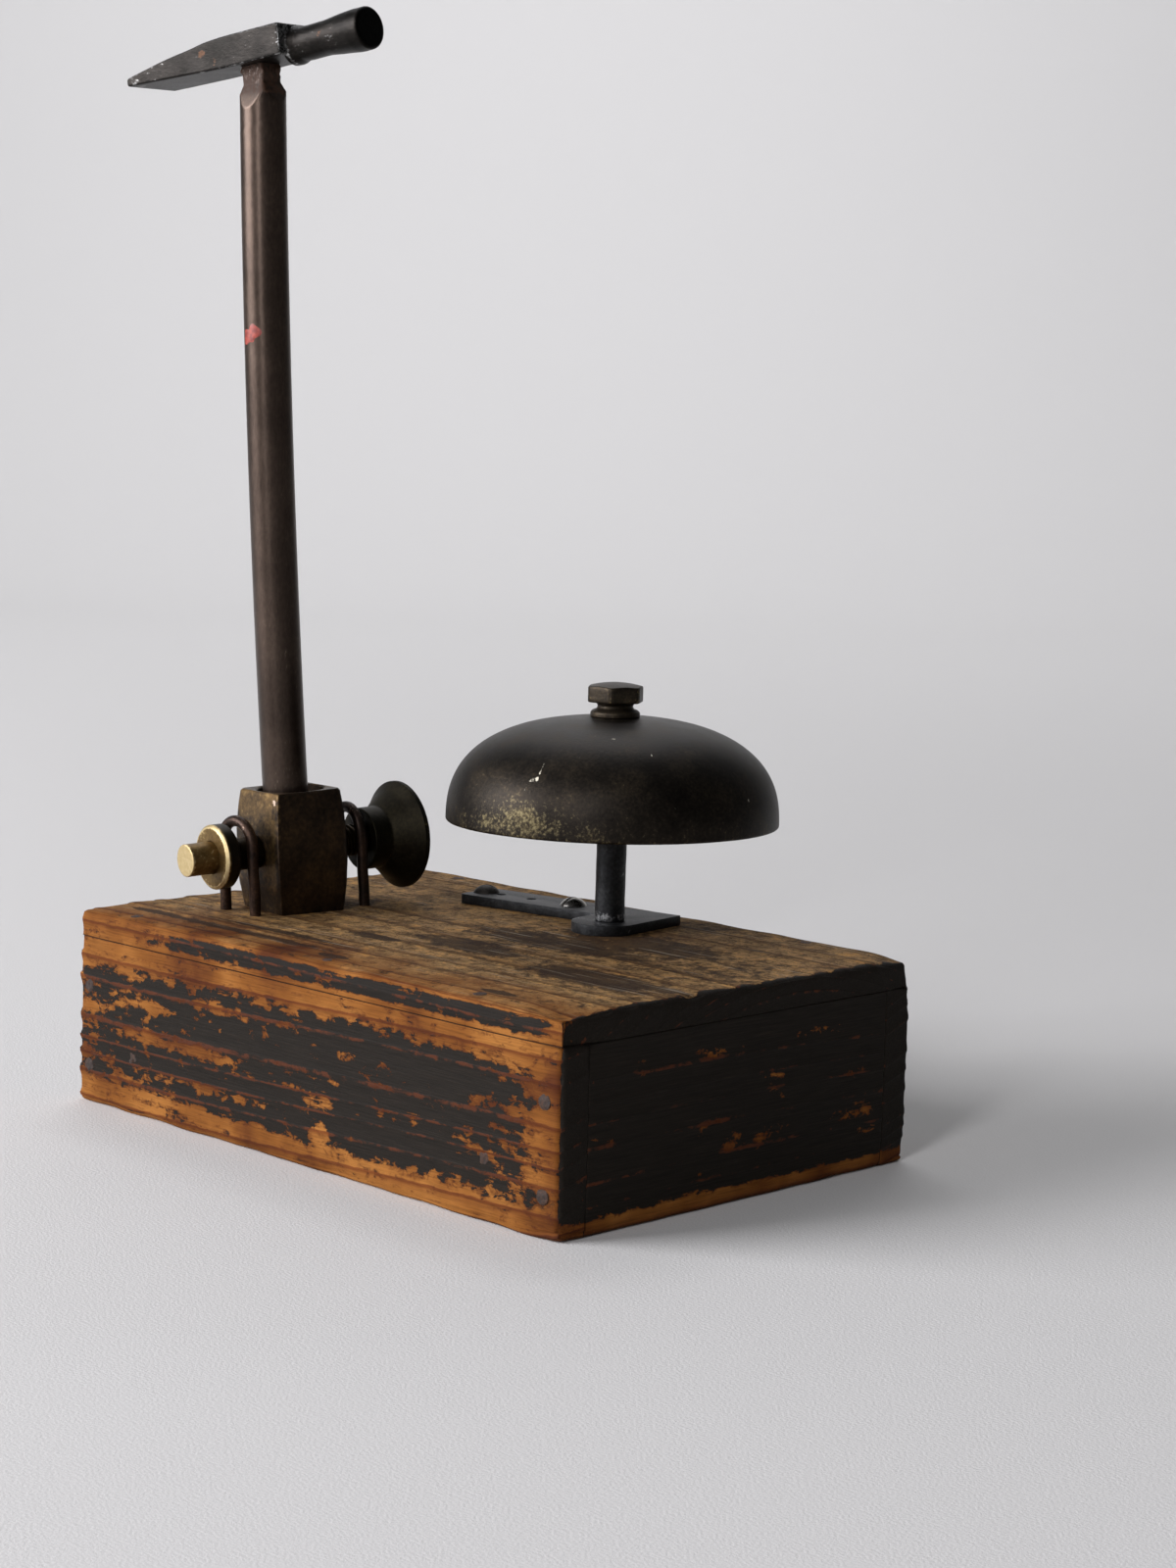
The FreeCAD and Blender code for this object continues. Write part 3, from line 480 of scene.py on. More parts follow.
    # Paint: long streaks that follow the rings, ragged chips, and whole flakes of 1.7 mm that came away.
    along_log = add(tree, "SeparateXYZ", {0: log})
    ring_run = add(tree, "Math", {0: rings, 1: 2.3}, operation="MULTIPLY")
    streak_space = add(tree, "CombineXYZ", {0: along_log, 1: ring_run, 2: 0.0})
    streak_scaled = add(tree, "Mapping", {0: streak_space, "Scale": (0.05, 1.0, 1.0)})
    streak = add(tree, "TexNoise", {"Vector": streak_scaled, "Scale": 1.25, "Detail": 8.0, "Roughness": 0.62,
                                    "Distortion": 0.25})
    chip_space = add(tree, "Mapping", {0: log, "Scale": (0.6, 1.0, 1.0)})
    chip = add(tree, "TexNoise", {"Vector": chip_space, "Scale": 0.55, "Detail": 7.0, "Roughness": 0.7,
                                  "Distortion": 0.6})
    shift = add(tree, "VectorMath", {0: chip.outputs["Color"], "Scale": 3.0}, operation="SCALE")
    flake_space = add(tree, "VectorMath", {0: chip_space, 1: shift}, operation="ADD")
    flake = add(tree, "TexVoronoi", {"Vector": flake_space, "Scale": 0.6})
    flake_tone = add(tree, "SeparateColor", {0: flake.outputs["Color"]})
    lost_flake = add(tree, "MapRange", {0: flake_tone, 1: 0.72, 2: 0.8, 4: -0.34})
    streaked = add(tree, "Math", {0: streak, 1: 1.5, 2: paint}, operation="MULTIPLY_ADD")
    chipped = add(tree, "Math", {0: chip, 1: 2.1, 2: streaked}, operation="MULTIPLY_ADD")
    flaked = add(tree, "Math", {0: chipped, 1: lost_flake}, operation="ADD")
    paint_share = add(tree, "MapRange", {0: flaked, 1: 2.12, 2: 2.17})
    halo = add(tree, "MapRange", {0: flaked, 1: 1.84, 2: 2.14, 4: 0.85})
    dust = add(tree, "ValToRGB", {0: fibre}, stops=((0.3, "#16130F"), (0.62, "#211C17"), (0.8, "#2F271F")))
    thin = add(tree, "MapRange", {0: flaked, 1: 3.1, 2: 2.2})
    thin_on_ridge = add(tree, "Math", {0: late, 1: thin}, operation="MULTIPLY")
    ridge_line = add(tree, "MapRange", {0: thin_on_ridge, 1: 0.36, 2: 0.7, 4: 0.6})
    paint_colour = add(tree, "Mix", {"Factor": ridge_line, 6: dust, 7: "#5E3019"}, data_type="RGBA")

    # The layers over the bare wood, each with its share: weather, stain, pits, torn fibre, grime and paint.
    surface = wood
    for share, layer in ((grey_share, sandy), (stain_share, "#241A14"), (pit_on_grey, "#2A1D14"),
                         (torn_on_grey, "#B5A995"), (halo, "#4A2410"), (paint_share, paint_colour)):
        surface = add(tree, "Mix", {"Factor": share, 6: surface, 7: layer}, data_type="RGBA")
    dullness = add(tree, "MapRange", {0: paint_share, 3: 0.78, 4: 0.64})

    # Relief: sand and fibres on the wood, ridges of late wood, sunken stains and the paint's own thickness.
    height = add(tree, "Math", {0: sand, 1: grey_share}, operation="MULTIPLY")
    for pattern, raised in ((fibre, 0.55), (late, 0.25), (stain_share, -0.4), (paint_share, 0.3)):
        height = add(tree, "Math", {0: pattern, 1: raised, 2: height}, operation="MULTIPLY_ADD")
    relief = add(tree, "Bump", {"Height": height, "Strength": 0.6, "Distance": 0.0003})
    feed(tree, shader, {"Base Color": surface, "Roughness": dullness, "Specular IOR Level": 0.1,
                        "Normal": relief})
    return material


painted = painted_pine()
# Each board's lowest and highest corner, and its log: the pith's place across it and the rings' spacing.
board_sizes = {
    "top_board": ((-outer[0], -outer[1], wall_height), (outer[0], outer[1], box_height), (12, -38, 2.9)),
    "front_board": ((-outer[0], -outer[1], 0), (outer[0], front_inside, wall_height), (-22, -70, 4.5)),
    "back_board": ((-outer[0], back_inside, 0), (outer[0], outer[1], wall_height), (20, 88, 3.4)),
    "left_end_board": ((-outer[0], front_inside, 0), (-end_inside, back_inside, wall_height), (4, -66, 3.2)),
    "right_end_board": ((end_inside, front_inside, 0), (outer[0], back_inside, wall_height), (-6, 92, 3.4)),
    "floor_board": ((-end_inside, front_inside, 0), (end_inside, back_inside, floor_thickness),
                    (30, -50, 3.6)),
}
skin_depth = 0.6
board_slots = {"top_board": "worn_top_wood", "floor_board": "bare_wood"}
for seed, (name, (low, high, (pith_y, pith_z, spacing))) in enumerate(board_sizes.items()):
    low, high = np.array(low, float), np.array(high, float)
    points, quads = block_grid(low, high, board_step if name != "floor_board" else 4 * board_step)
    points, _, _ = rounded_in(points, low, high, joint_round)
    log = points[:, [1, 0, 2]] if "end" in name else points
    rings = ring_number(log, pith_y, pith_z, spacing, 7 * seed + 3)
    shaped, outward = wear_board(points, rings, 11 * seed + 5)
    inset = np.minimum(points - body_low, body_high - points).min(1)
    painted_here = (inset < skin_depth) & (name != "floor_board") & (points[:, 2] > 0.3)
    in_joint = (inset < skin_depth) & (inset > 0.04)
    round_nails = blots(points, nail_stains, 0, 2) * (points[:, 1] < -outer[1] + 1) - 0.3 + 0.9 * in_joint
    up_share = ease(outward[:, 2], 0.3, 0.9) * (name == "top_board")
    board = put_mesh(name + "_worn", shaped, quads)
    add_attribute(board, "log", log + 40.0 * seed)
    add_attribute(board, "rings", rings)
    add_attribute(board, "paint", np.where(painted_here, paint_left(points, outward, 40 + seed), -1.0))
    add_attribute(board, "grey", up_share * (0.34 + 0.42 * ease(points[:, 1], -44, -22)))
    add_attribute(board, "dirt", up_share * (0.07 + blots(points, top_dirt)) + (1 - up_share) * round_nails)
    finish_piece(board, "stand", board_slots.get(name, "painted_wood"), painted, name)


# Nails of the box
# Round wire nails of 1.5 mm iron driven flush through the boards' faces: their flat heads are rusty,
# dented by the nailing and sunk a little where the soft wood gave way.
nail_radius = 0.75
nail_head_radius = 1.45
nail_length = 17.6
nail_sink = 0.1
nail_end_x = outer[0] - 4.1
floor_nail_x = outer[0] - 18.5
long_nail_places = ((-nail_end_x, 7.5), (-nail_end_x, 23.5), (nail_end_x, 7.5), (nail_end_x, 23.5),
                    (-floor_nail_x, 11.2), (floor_nail_x, 11.2))
top_nail_x = (-outer[0] + 15.5, 5.0, outer[0] - 23.5)
top_nail_y = (-outer[1] + front_thickness / 2, outer[1] - back_thickness / 2)


def turn(axis, degrees):
    """The rotation about an axis as a three by three matrix."""
    x, y, z = np.array(axis) / np.linalg.norm(axis)
    cross = np.array([[0, -z, y], [z, 0, -x], [-y, x, 0]])
    angle = math.radians(degrees)
    return np.eye(3) + math.sin(angle) * cross + (1 - math.cos(angle)) * cross @ cross


def soften(profile, cut, step=0.8):
    """A profile with its corners rounded within this cut and its runs divided into steps."""
    profile = np.array(profile, float)
    share = np.linspace(0, 1, 5)[:, None]
    line = [profile[:1]]
    for before, corner, after in zip(profile, profile[1:], profile[2:]):
        back, on = before - corner, after - corner
        back_run, on_run = np.linalg.norm(back), np.linalg.norm(on)
        reach = min(cut, 0.45 * back_run, 0.45 * on_run)
        start, end = corner + back / back_run * reach, corner + on / on_run * reach
        line.append((1 - share) ** 2 * start + 2 * share * (1 - share) * corner + share ** 2 * end)
    line = np.concatenate(line + [profile[-1:]])
    runs = [np.linspace(a, b, max(1, math.ceil(np.linalg.norm(b - a) / step)), endpoint=False)
            for a, b in zip(line, line[1:])]
    return np.concatenate(runs + [line[-1:]])


def around(radius, angle, height):
    """Points round Z at these radii, angles and heights."""
    return np.stack(np.broadcast_arrays(radius * np.cos(angle), radius * np.sin(angle), height), -1)


def full_circle(columns):
    """This many angles evenly round a circle."""
    return np.linspace(0, 2 * np.pi, columns, endpoint=False)


def turned(profile, columns=96):
    """Rings of points round Z from a profile of radius and height."""
    profile = np.array(profile)
    return around(profile[:, 0, None], full_circle(columns), profile[:, 1, None])


def skin(rings, loop=False):
    """A closed skin over rings of points, facing outwards: capped at both ends, or joined in a loop."""
    count, around = rings.shape[:2]
    points = rings.reshape(-1, 3)
    quads = grid_quads(count, around, wrap=True)
    column = np.arange(around)
    after = (column + 1) % around
    last = (count - 1) * around
    triangles = np.zeros((0, 3), int)
    if loop:
        quads = np.concatenate([quads, np.stack([last + column, last + after, after, column], -1)])
    else:
        low_cap = np.stack([after, column, np.full(around, len(points))], -1)
        high_cap = np.stack([last + column, last + after, np.full(around, len(points) + 1)], -1)
        triangles = np.concatenate([low_cap, high_cap])
        points = np.concatenate([points, rings[[0, -1]].mean(1)])
    halves = np.concatenate([quads[:, :3], quads[:, [0, 2, 3]], triangles])
    a, b, c = points[halves].transpose(1, 0, 2)
    if (np.cross(a, b) * c).sum() < 0:
        quads, triangles = quads[:, ::-1], triangles[:, ::-1]
    return points, quads, triangles


def join(parts):
    """Several skins as one set of points, quads and triangles."""
    shifts = np.cumsum([0] + [len(points) for points, _, _ in parts])
    return (np.concatenate([points for points, _, _ in parts]),
            np.concatenate([quads + shift for (_, quads, _), shift in zip(parts, shifts)]),
            np.concatenate([triangles + shift for (_, _, triangles), shift in zip(parts, shifts)]))


def set_in(points, rotation, origin):
    """Points turned and then moved to their place."""
    return points @ rotation.T + np.array(origin)


def old_metal(name, ground, shine, spot="#000000", rough=(0.5, 0.3), metallic=(0.7, 1.0), cloud_mm=6.0,
              grain_mm=0.8, stretch=(1, 1, 1), relief_mm=0.06, blend=0.25):
    """Metal under an old skin, all sizes in millimetres.

    The attribute wear bares the shine under the ground colour over this blend of its range, spots lays the
    third colour, and the third attribute blackens: dark oxide on some pieces, painted shade on others.
    Rough and metallic are each for the ground and then for the shine."""
    material, tree, shader, mm = new_material(name)
    wear, spots, oxide_and_shade = stored(tree, "wear", "spots", "oxide_and_shade")
    grain_space = add(tree, "Mapping", {0: mm, "Scale": stretch})
    cloud = add(tree, "TexNoise", {"Vector": mm, "Scale": 1 / cloud_mm, "Detail": 4.0, "Roughness": 0.6})
    grain = add(tree, "TexNoise", {"Vector": grain_space, "Scale": 1 / grain_mm, "Detail": 4.0,
                                   "Roughness": 0.65})
    half_cloud = add(tree, "Math", {0: cloud, 1: 0.55}, operation="MULTIPLY")
    tone = add(tree, "Math", {0: grain, 1: 0.45, 2: half_cloud}, operation="MULTIPLY_ADD")
    ground_colour = add(tree, "ValToRGB", {0: tone}, stops=ground)
    shine_colour = add(tree, "ValToRGB", {0: grain}, stops=shine)
    clouded = add(tree, "Math", {0: cloud, 1: 1.1, 2: wear}, operation="MULTIPLY_ADD")
    grained = add(tree, "Math", {0: grain, 1: 1.3, 2: clouded}, operation="MULTIPLY_ADD")
    bared = add(tree, "MapRange", {0: grained, 1: 1.55, 2: 1.55 + blend})
    spotted = add(tree, "Math", {0: grain, 1: 1.2, 2: spots}, operation="MULTIPLY_ADD")
    spot_share = add(tree, "MapRange", {0: spotted, 1: 1.05, 2: 1.2})
    colour = ground_colour
    # The last layer blackens: dark oxide on some pieces, painted shade on others.
    for share, layer in ((bared, shine_colour), (spot_share, spot), (oxide_and_shade, "#080706")):
        colour = add(tree, "Mix", {"Factor": share, 6: colour, 7: layer}, data_type="RGBA")
    bare_rough = add(tree, "MapRange", {0: bared, 3: rough[0], 4: rough[1]})
    uneven = add(tree, "Math", {0: tone, 1: 0.3, 2: bare_rough}, operation="MULTIPLY_ADD")
    settled = add(tree, "Math", {0: uneven, 1: 0.15}, operation="SUBTRACT", use_clamp=True)
    dull_spots = add(tree, "Mix", {"Factor": spot_share, 2: settled, 3: 0.75})
    metal_share = add(tree, "MapRange", {0: bared, 3: metallic[0], 4: metallic[1]})
    rust_free = add(tree, "Mix", {"Factor": spot_share, 2: metal_share, 3: 0.1})
    height = add(tree, "Math", {0: bared, 1: -0.25, 2: grain}, operation="MULTIPLY_ADD")
    relief = add(tree, "Bump", {"Height": height, "Strength": 0.8, "Distance": relief_mm / 1000})
    feed(tree, shader, {"Base Color": colour, "Roughness": dull_spots, "Metallic": rust_free,
                        "Normal": relief})
    return material


def age(made, wear=None, spots=None, oxide_and_shade=None):
    """Store how worn and spotted each point of a piece is, and how far it is blackened by oxide and by
    painted shade.
    """
    for name, values in (("wear", wear), ("spots", spots), ("oxide_and_shade", oxide_and_shade)):
        if values is not None:
            add_attribute(made, name, values)


# Rusted nail iron: red-brown to black oxide, fully matt, with a hint of grey metal on the high spots.
nail_iron = old_metal(
    "rusted nail iron", ground=((0.35, "#1C1411"), (0.5, "#33231A"), (0.62, "#4B3020")),
    shine=((0.3, "#4A4642"), (0.7, "#6B655E")), rough=(0.7, 0.5), metallic=(0.25, 0.8), cloud_mm=2.0,
    grain_mm=0.35, relief_mm=0.1)
nail_point = 2.0
nail_head_height = 0.6
nail_profile = soften([(0.04, -nail_length), (nail_radius, -nail_length + nail_point),
                       (nail_radius, -nail_head_height - 0.1), (nail_head_radius, -nail_head_height),
                       (nail_head_radius, -0.02), (0.9, 0.05), (0.1, 0.08)], 0.18, 0.5)
nail_groups = {
    "front_nails": [(turn((1, 0, 0), 90), (x, -outer[1] + nail_sink, z)) for x, z in long_nail_places],
    "back_nails": [(turn((1, 0, 0), -90), (x, outer[1] - nail_sink, z)) for x, z in long_nail_places],
    "top_nails": [(np.eye(3), (x, y, box_height - nail_sink)) for y in top_nail_y for x in top_nail_x],
}
for name, places in nail_groups.items():
    nails = []
    for rotation, origin in places:
        rings = set_in(turned(nail_profile, 40), rotation, origin)
        dents = 0.07 * ripple(rings, 1.7, int(abs(origin[0]) * 7)) * (nail_profile[:, 1, None] > -0.3)
        nails.append(skin(rings - dents[..., None] * rotation[:, 2]))
    made = put_mesh(name + "_rusty", *join(nails))
    finish_piece(made, "stand", "nail_iron", nail_iron, name, sharp=50)


# Bracket
# A bar of 1.9 mm black iron with a rounded lug for the post, sheared and filed by hand, two spare holes
# beside its screws. It lies on the top board; its edges are slightly broken and rubbed to grey.
post_place = np.array([13.1, 20.9, 0.0])
bracket_rotation = turn((0, 0, 1), 8.0)
bracket_thickness = 1.9
bar_middle = 9.3
bar_top = box_height + bracket_thickness
screw_places = (-38.2, -16.0)


def eased_copy(name, node, cut_mm):
    """A merged copy of a CAD node's mesh whose sharp edges are rounded by this many millimetres."""
    made = bpy.data.objects.new(name, nodes[node].data.copy())
    bpy.context.scene.collection.objects.link(made)
    work = bmesh.new()
    work.from_mesh(made.data)
    bmesh.ops.remove_doubles(work, verts=work.verts, dist=1e-6)
    bmesh.ops.dissolve_limit(work, angle_limit=math.radians(1.5), verts=work.verts, edges=work.edges)
    sharp = [edge for edge in work.edges if edge.is_manifold and edge.calc_face_angle(0) > math.radians(35)]
    bmesh.ops.bevel(work, geom=sharp, offset=cut_mm / 1000, segments=3, profile=0.5, affect="EDGES",
                    clamp_overlap=True)
    bmesh.ops.triangulate(work, faces=[face for face in work.faces if len(face.verts) > 4])
    work.to_mesh(made.data)
    work.free()
    made.data.materials.clear()
    made.data.polygons.foreach_set("use_smooth", np.ones(len(made.data.polygons), bool))
    return made


def points_of(made, origin=(0, 0, 0), rotation=np.eye(3)):
    """A mesh's points in millimetres, as seen from a frame with this origin and rotation."""
    places = np.empty(len(made.data.vertices) * 3, np.float32)
    made.data.vertices.foreach_get("co", places)
    return (places.reshape(-1, 3) * 1000 - np.array(origin)) @ rotation


# Black iron: forge scale worn smooth by hands, blue-black and half dull, silvery at rubbed edges.
black_iron = old_metal(
    "worn black iron", ground=((0.35, "#1A1A1B"), (0.5, "#2A2B2C"), (0.65, "#3F4041")),
    shine=((0.3, "#6C6E70"), (0.7, "#A3A4A4")), spot="#4A3222", rough=(0.5, 0.36), metallic=(0.8, 1.0),
    cloud_mm=5.0, grain_mm=0.6, relief_mm=0.12)
bracket = eased_copy("bracket_eased", "bracket", 0.28)
from_post = points_of(bracket, post_place)
from_lug_left = np.hypot(from_post[:, 0] + 5.6, from_post[:, 1] + 3.6)
age(bracket, 0.1 + 0.35 * bell(from_lug_left, 0, 2.6))
finish_piece(bracket, "stand", "black_iron", black_iron, "bracket", sharp=40)


# Bracket screws
# Two round-head wood screws of 5.4 mm head, turned by hand: the left one has gone dull and the right one
# is still bright, and their slots stand at different angles.
screw_head_radius = 2.7
screw_head_height = 1.6
slot_width = 0.6
slot_depth = 0.6
slot_turns = (20.0, 75.0)

# Wood-screw steel: a grey bright skin with brown tarnish and painted shade in the slot; glossy on the worn
# dome.
screw_steel = old_metal(
    "tarnished screw steel", ground=((0.35, "#1E1B18"), (0.6, "#3B3733")),
    shine=((0.3, "#8C8984"), (0.7, "#B9B6B0")), spot="#3A2519", rough=(0.5, 0.24), metallic=(0.8, 1.0),
    cloud_mm=2.5, grain_mm=0.4, relief_mm=0.04)
ball_radius = (screw_head_radius ** 2 + screw_head_height ** 2) / (2 * screw_head_height)
dome_rings = 44
shank_radius = 1.3
shank_depth = 4.2
screws, screw_wear = [], []
for along, slot_turn, bright in zip(screw_places, slot_turns, (-0.1, 0.7)):
    reach = np.concatenate([np.linspace(0.08, screw_head_radius, dome_rings), [shank_radius] * 2])
    dome = np.sqrt(ball_radius ** 2 - np.minimum(reach, screw_head_radius) ** 2)
    dome += screw_head_height - ball_radius
    dome[-1] = -shank_depth
    rings = turned(np.stack([reach, dome], 1), 160)
    sideways = np.abs(rings @ turn((0, 0, 1), slot_turn)[:, 1])
    in_slot = 1 - ease(sideways, slot_width / 2 - 0.05, slot_width / 2 + 0.05)
    floor = np.minimum(rings[..., 2], screw_head_height - slot_depth)
    rings[:dome_rings, :, 2] += (in_slot * (floor - rings[..., 2]))[:dome_rings]
    origin = bracket_rotation @ np.array([along, bar_middle, 0]) + post_place + [0, 0, bar_top]
    screws.append(skin(set_in(rings, bracket_rotation, origin)))
    # Inside the slot the wear is taken away: tarnish, and painted shade.
    screw_wear.append(np.append((bright - 0.9 * in_slot).ravel(), [bright, bright]))
made = put_mesh("bracket_screws_domed", *join(screws))
age(made, np.concatenate(screw_wear))
finish_piece(made, "stand", "screw_steel", screw_steel, "bracket_screws", sharp=55)


# Gong post and its washer
# A 5.8 mm iron rod riveted into the lug below and turned down to a thread above; a leather washer on its
# shoulder keeps the gong from buzzing.
post_radius = 2.9
post_thread_radius = 2.4
shoulder_z = 77.234
thread_top_z = 84.1
rivet_radius = 2.0
rub_height = 41.2
post_profile = soften([(0.1, box_height), (rivet_radius, box_height), (rivet_radius, bar_top),
                       (post_radius, bar_top), (post_radius, shoulder_z), (post_thread_radius, shoulder_z),
                       (post_thread_radius, thread_top_z), (0.1, thread_top_z)], 0.25)
rings = turned(post_profile) + post_place
rings[..., :2] += 0.05 * ripple(rings, 9, 31)[..., None] * (rings - post_place)[..., :2] / post_radius
post = put_mesh("gong_post_turned", *skin(rings))
age(post, 0.06 + 0.42 * bell(points_of(post)[:, 2], rub_height, 1.2))
finish_piece(post, "stand", "black_iron", black_iron, "gong_post", sharp=50)

# Washer leather: brown, hard and dry after decades under the gong, with a fine crackle.
leather, tree, shader, mm = new_material("dry washer leather")
crackle = add(tree, "TexVoronoi", {"Vector": mm, "Scale": 1.6})
tan = add(tree, "ValToRGB", {0: crackle}, stops=((0.0, "#2B1B12"), (0.6, "#5A3D28")))
relief = add(tree, "Bump", {"Height": crackle, "Strength": 0.6, "Distance": 0.0001})
feed(tree, shader, {"Base Color": tan, "Roughness": 0.8, "Normal": relief})
washer_hole = 2.6
washer_radius = 4.6
washer_top_z = shoulder_z + 1.0
washer_profile = [(washer_hole, shoulder_z), (washer_radius - 0.1, shoulder_z),
                  (washer_radius, shoulder_z + 0.1), (washer_radius, washer_top_z - 0.1),
                  (washer_radius - 0.1, washer_top_z), (washer_hole, washer_top_z)]
washer = put_mesh("gong_washer_leather", *skin(turned(washer_profile) + post_place, loop=True))
finish_piece(washer, "stand", "leather_washer", leather, "gong_washer", sharp=50)


# Gong
# A 64 mm bell gong spun and pressed from 1.5 mm bell brass, clamped at its crown so that the rim rings free.
# Its lacquer is long gone: olive-black patina, brassy mottling low at the left and a few bright scratches.
gong_radius = 32.0
gong_height = 20.2
gong_rim_z = 59.6
gong_wall = 1.5
gong_power = 0.8
gong_hole = 2.6


def dome_rows(radius, height, rows):
    """Radius = R cos(a)^0.8 and height = H sin(a)^0.8: a squared-off quarter ellipse up to the hole."""
    last = math.acos((gong_hole / radius) ** (1 / gong_power))
    angle = last * np.linspace(0, 1, rows) ** 1.15
    return np.stack([radius * np.cos(angle) ** gong_power,
                     gong_rim_z + height * np.sin(angle) ** gong_power], 1)


outside = dome_rows(gong_radius, gong_height, 110)
inside = dome_rows(gong_radius - gong_wall, gong_height - gong_wall, 80)[::-1]
rim_inside = gong_radius - gong_wall
rim = np.array([(rim_inside + 0.05, gong_rim_z + 0.15), (rim_inside + 0.2, gong_rim_z),
                (gong_radius - 0.2, gong_rim_z), (gong_radius - 0.05, gong_rim_z + 0.15)])
above_rim = [line[line[:, 1] > gong_rim_z + 0.3] for line in (outside, inside)]
gong_profile = np.concatenate([*above_rim, rim])
# It was spun on a lathe and has been knocked about: a few hundredths out of round and out of flat.
out_of_round = 0.0012
out_of_flat = 0.03
rings = turned(gong_profile, 288)
rings[..., :2] *= 1 + out_of_round * ripple(rings, 40, 12)[..., None]
rings[..., 2] += out_of_flat * ripple(rings, 22, 13)
gong = put_mesh("gong_spun", *skin(rings + post_place, loop=True))

# Bell brass under patina: a brown to olive-black oxide with a soft broad gloss, brassy where it is rubbed,
# and a painted reflection along the rim.
patina = old_metal(
    "patinated bell brass", ground=((0.36, "#1B1815"), (0.5, "#26221D"), (0.64, "#373027")),
    shine=((0.3, "#332D20"), (0.5, "#4A422F"), (0.66, "#6E654B")), spot="#D9D2BE", rough=(0.46, 0.48),
    metallic=(0.94, 0.94), grain_mm=0.6, relief_mm=0.05, blend=0.32)
from_axis = points_of(gong, post_place)
bearing = np.degrees(np.arctan2(from_axis[:, 1], from_axis[:, 0]))
over_rim = from_axis[:, 2] - gong_rim_z
mottled_bearing = -78
mottle_and_rim_sheen = 0.36 * bell(bearing, mottled_bearing, 27) * bell(over_rim, 4.0, 4.5)
# A brighter band along the rim: worn brass with a painted reflection.
mottle_and_rim_sheen += 0.2 * bell(over_rim, 0, 0.5) + 0.16 * bell(over_rim, 2, 3)
# Bearing in degrees and height over the rim, half sizes and strength of the scratches and bright nicks.
scratches = ((-75.0, 10.6, 2.6, 0.6, 0.62), (-73.5, 12.4, 0.9, 1.7, 0.6), (-77.5, 9.2, 0.7, 1.0, 0.52),
             (-88.0, 9.0, 0.6, 1.1, 0.5), (-60.0, 15.0, 0.7, 0.4, 0.5), (-57.0, 18.2, 1.5, 0.25, 0.5),
             (8.6, 7.0, 1.2, 0.5, 0.56), (4.0, 6.4, 0.8, 0.3, 0.54), (-23.5, 6.6, 1.6, 0.35, 0.54),
             (-29.0, 15.5, 0.9, 0.5, 0.56), (-46.0, 17.8, 3.0, 0.25, 0.54))
age(gong, mottle_and_rim_sheen, blots(np.column_stack([bearing, over_rim]), scratches) - 0.08)
finish_piece(gong, "stand", "gong_brass", patina, "gong", sharp=50)


# Gong nut
# A turned brass nut with a flange, a waist and a domed hexagon of 10 mm, screwed down hard on the gong.
# Its corners are slightly rounded by a spanner, and its waist is darker.
crown_z = 79.8
flange_radius = 4.75
waist_radius = 3.35
neck_radius = 4.317
hexagon_z = 82.6
nut_top_z = 86.4
across_flats = 10.0
crown_drop = 0.9
corner_rub = 0.18
nut_turn = -54.0
nut_angle = full_circle(240)
flat_angle = (nut_angle - math.radians(nut_turn)) % (np.pi / 3) - np.pi / 6
corner_radius = across_flats / 2 / math.cos(math.pi / 6)
sharp_hexagon = across_flats / 2 / np.cos(flat_angle)
hexagon = sharp_hexagon - corner_rub * ease(sharp_hexagon, corner_radius - 0.35, corner_radius)
turned_rows = soften([(0.1, crown_z), (flange_radius, crown_z), (flange_radius, crown_z + 0.87),
                      (neck_radius, crown_z + 1.3), (3.6, crown_z + 1.55), (waist_radius, crown_z + 2.05),
                      (3.6, crown_z + 2.55), (neck_radius - 0.1, hexagon_z - 0.02)], 0.2, 0.3)
rings = [around(radius, nut_angle, z) for radius, z in turned_rows]
dome_radius = (corner_radius ** 2 + crown_drop ** 2) / (2 * crown_drop)
dome_edge = nut_top_z - dome_radius + np.sqrt(dome_radius ** 2 - hexagon ** 2)
# The hexagon's sides: share of its radius, share of the way up to the domed top, and a lift for the chamfer.
side_rows = [(0.955, 0.0, 0.0), (0.985, 0.0, 0.08), (1.0, 0.0, 0.3)]
side_rows += [(1.0, share, 0.3 - 0.55 * share) for share in (0.25, 0.5, 0.75, 1.0)]
for scale, share, lift in side_rows:
    rings.append(around(scale * hexagon, nut_angle, hexagon_z + share * (dome_edge - hexagon_z) + lift))
for scale in (0.99, 0.97, 0.94, 0.88, 0.8, 0.65, 0.5, 0.3, 0.12, 0.02):
    radius = hexagon * scale
    eased = 0.1 * (scale > 0.98)
    z = nut_top_z - dome_radius + np.sqrt(dome_radius ** 2 - radius ** 2) - eased
    rings.append(around(radius, nut_angle, z))
nut = put_mesh("gong_nut_turned", *skin(np.array(rings) + post_place))

# Nut brass: brown tarnish, smoother and lighter than the gong, yellow on its corners.
nut_brass = old_metal(
    "tarnished nut brass", ground=((0.35, "#1D1812"), (0.5, "#2F281E"), (0.65, "#443A2C")),
    shine=((0.3, "#5A4E34"), (0.7, "#85754F")), spot="#1A1610", rough=(0.46, 0.36), metallic=(0.8, 0.9),
    cloud_mm=3.0, grain_mm=0.5, relief_mm=0.05)
from_axis = points_of(nut, post_place)
reach = np.hypot(from_axis[:, 0], from_axis[:, 1])
in_waist = bell(from_axis[:, 2], crown_z + 2, 0.6) * (reach < 4.2)
age(nut, 0.3 * ease(reach, 5.2, 5.6) + 0.06, 0.45 * in_waist - 0.2)
finish_piece(nut, "stand", "nut_brass", nut_brass, "gong_nut", sharp=50)


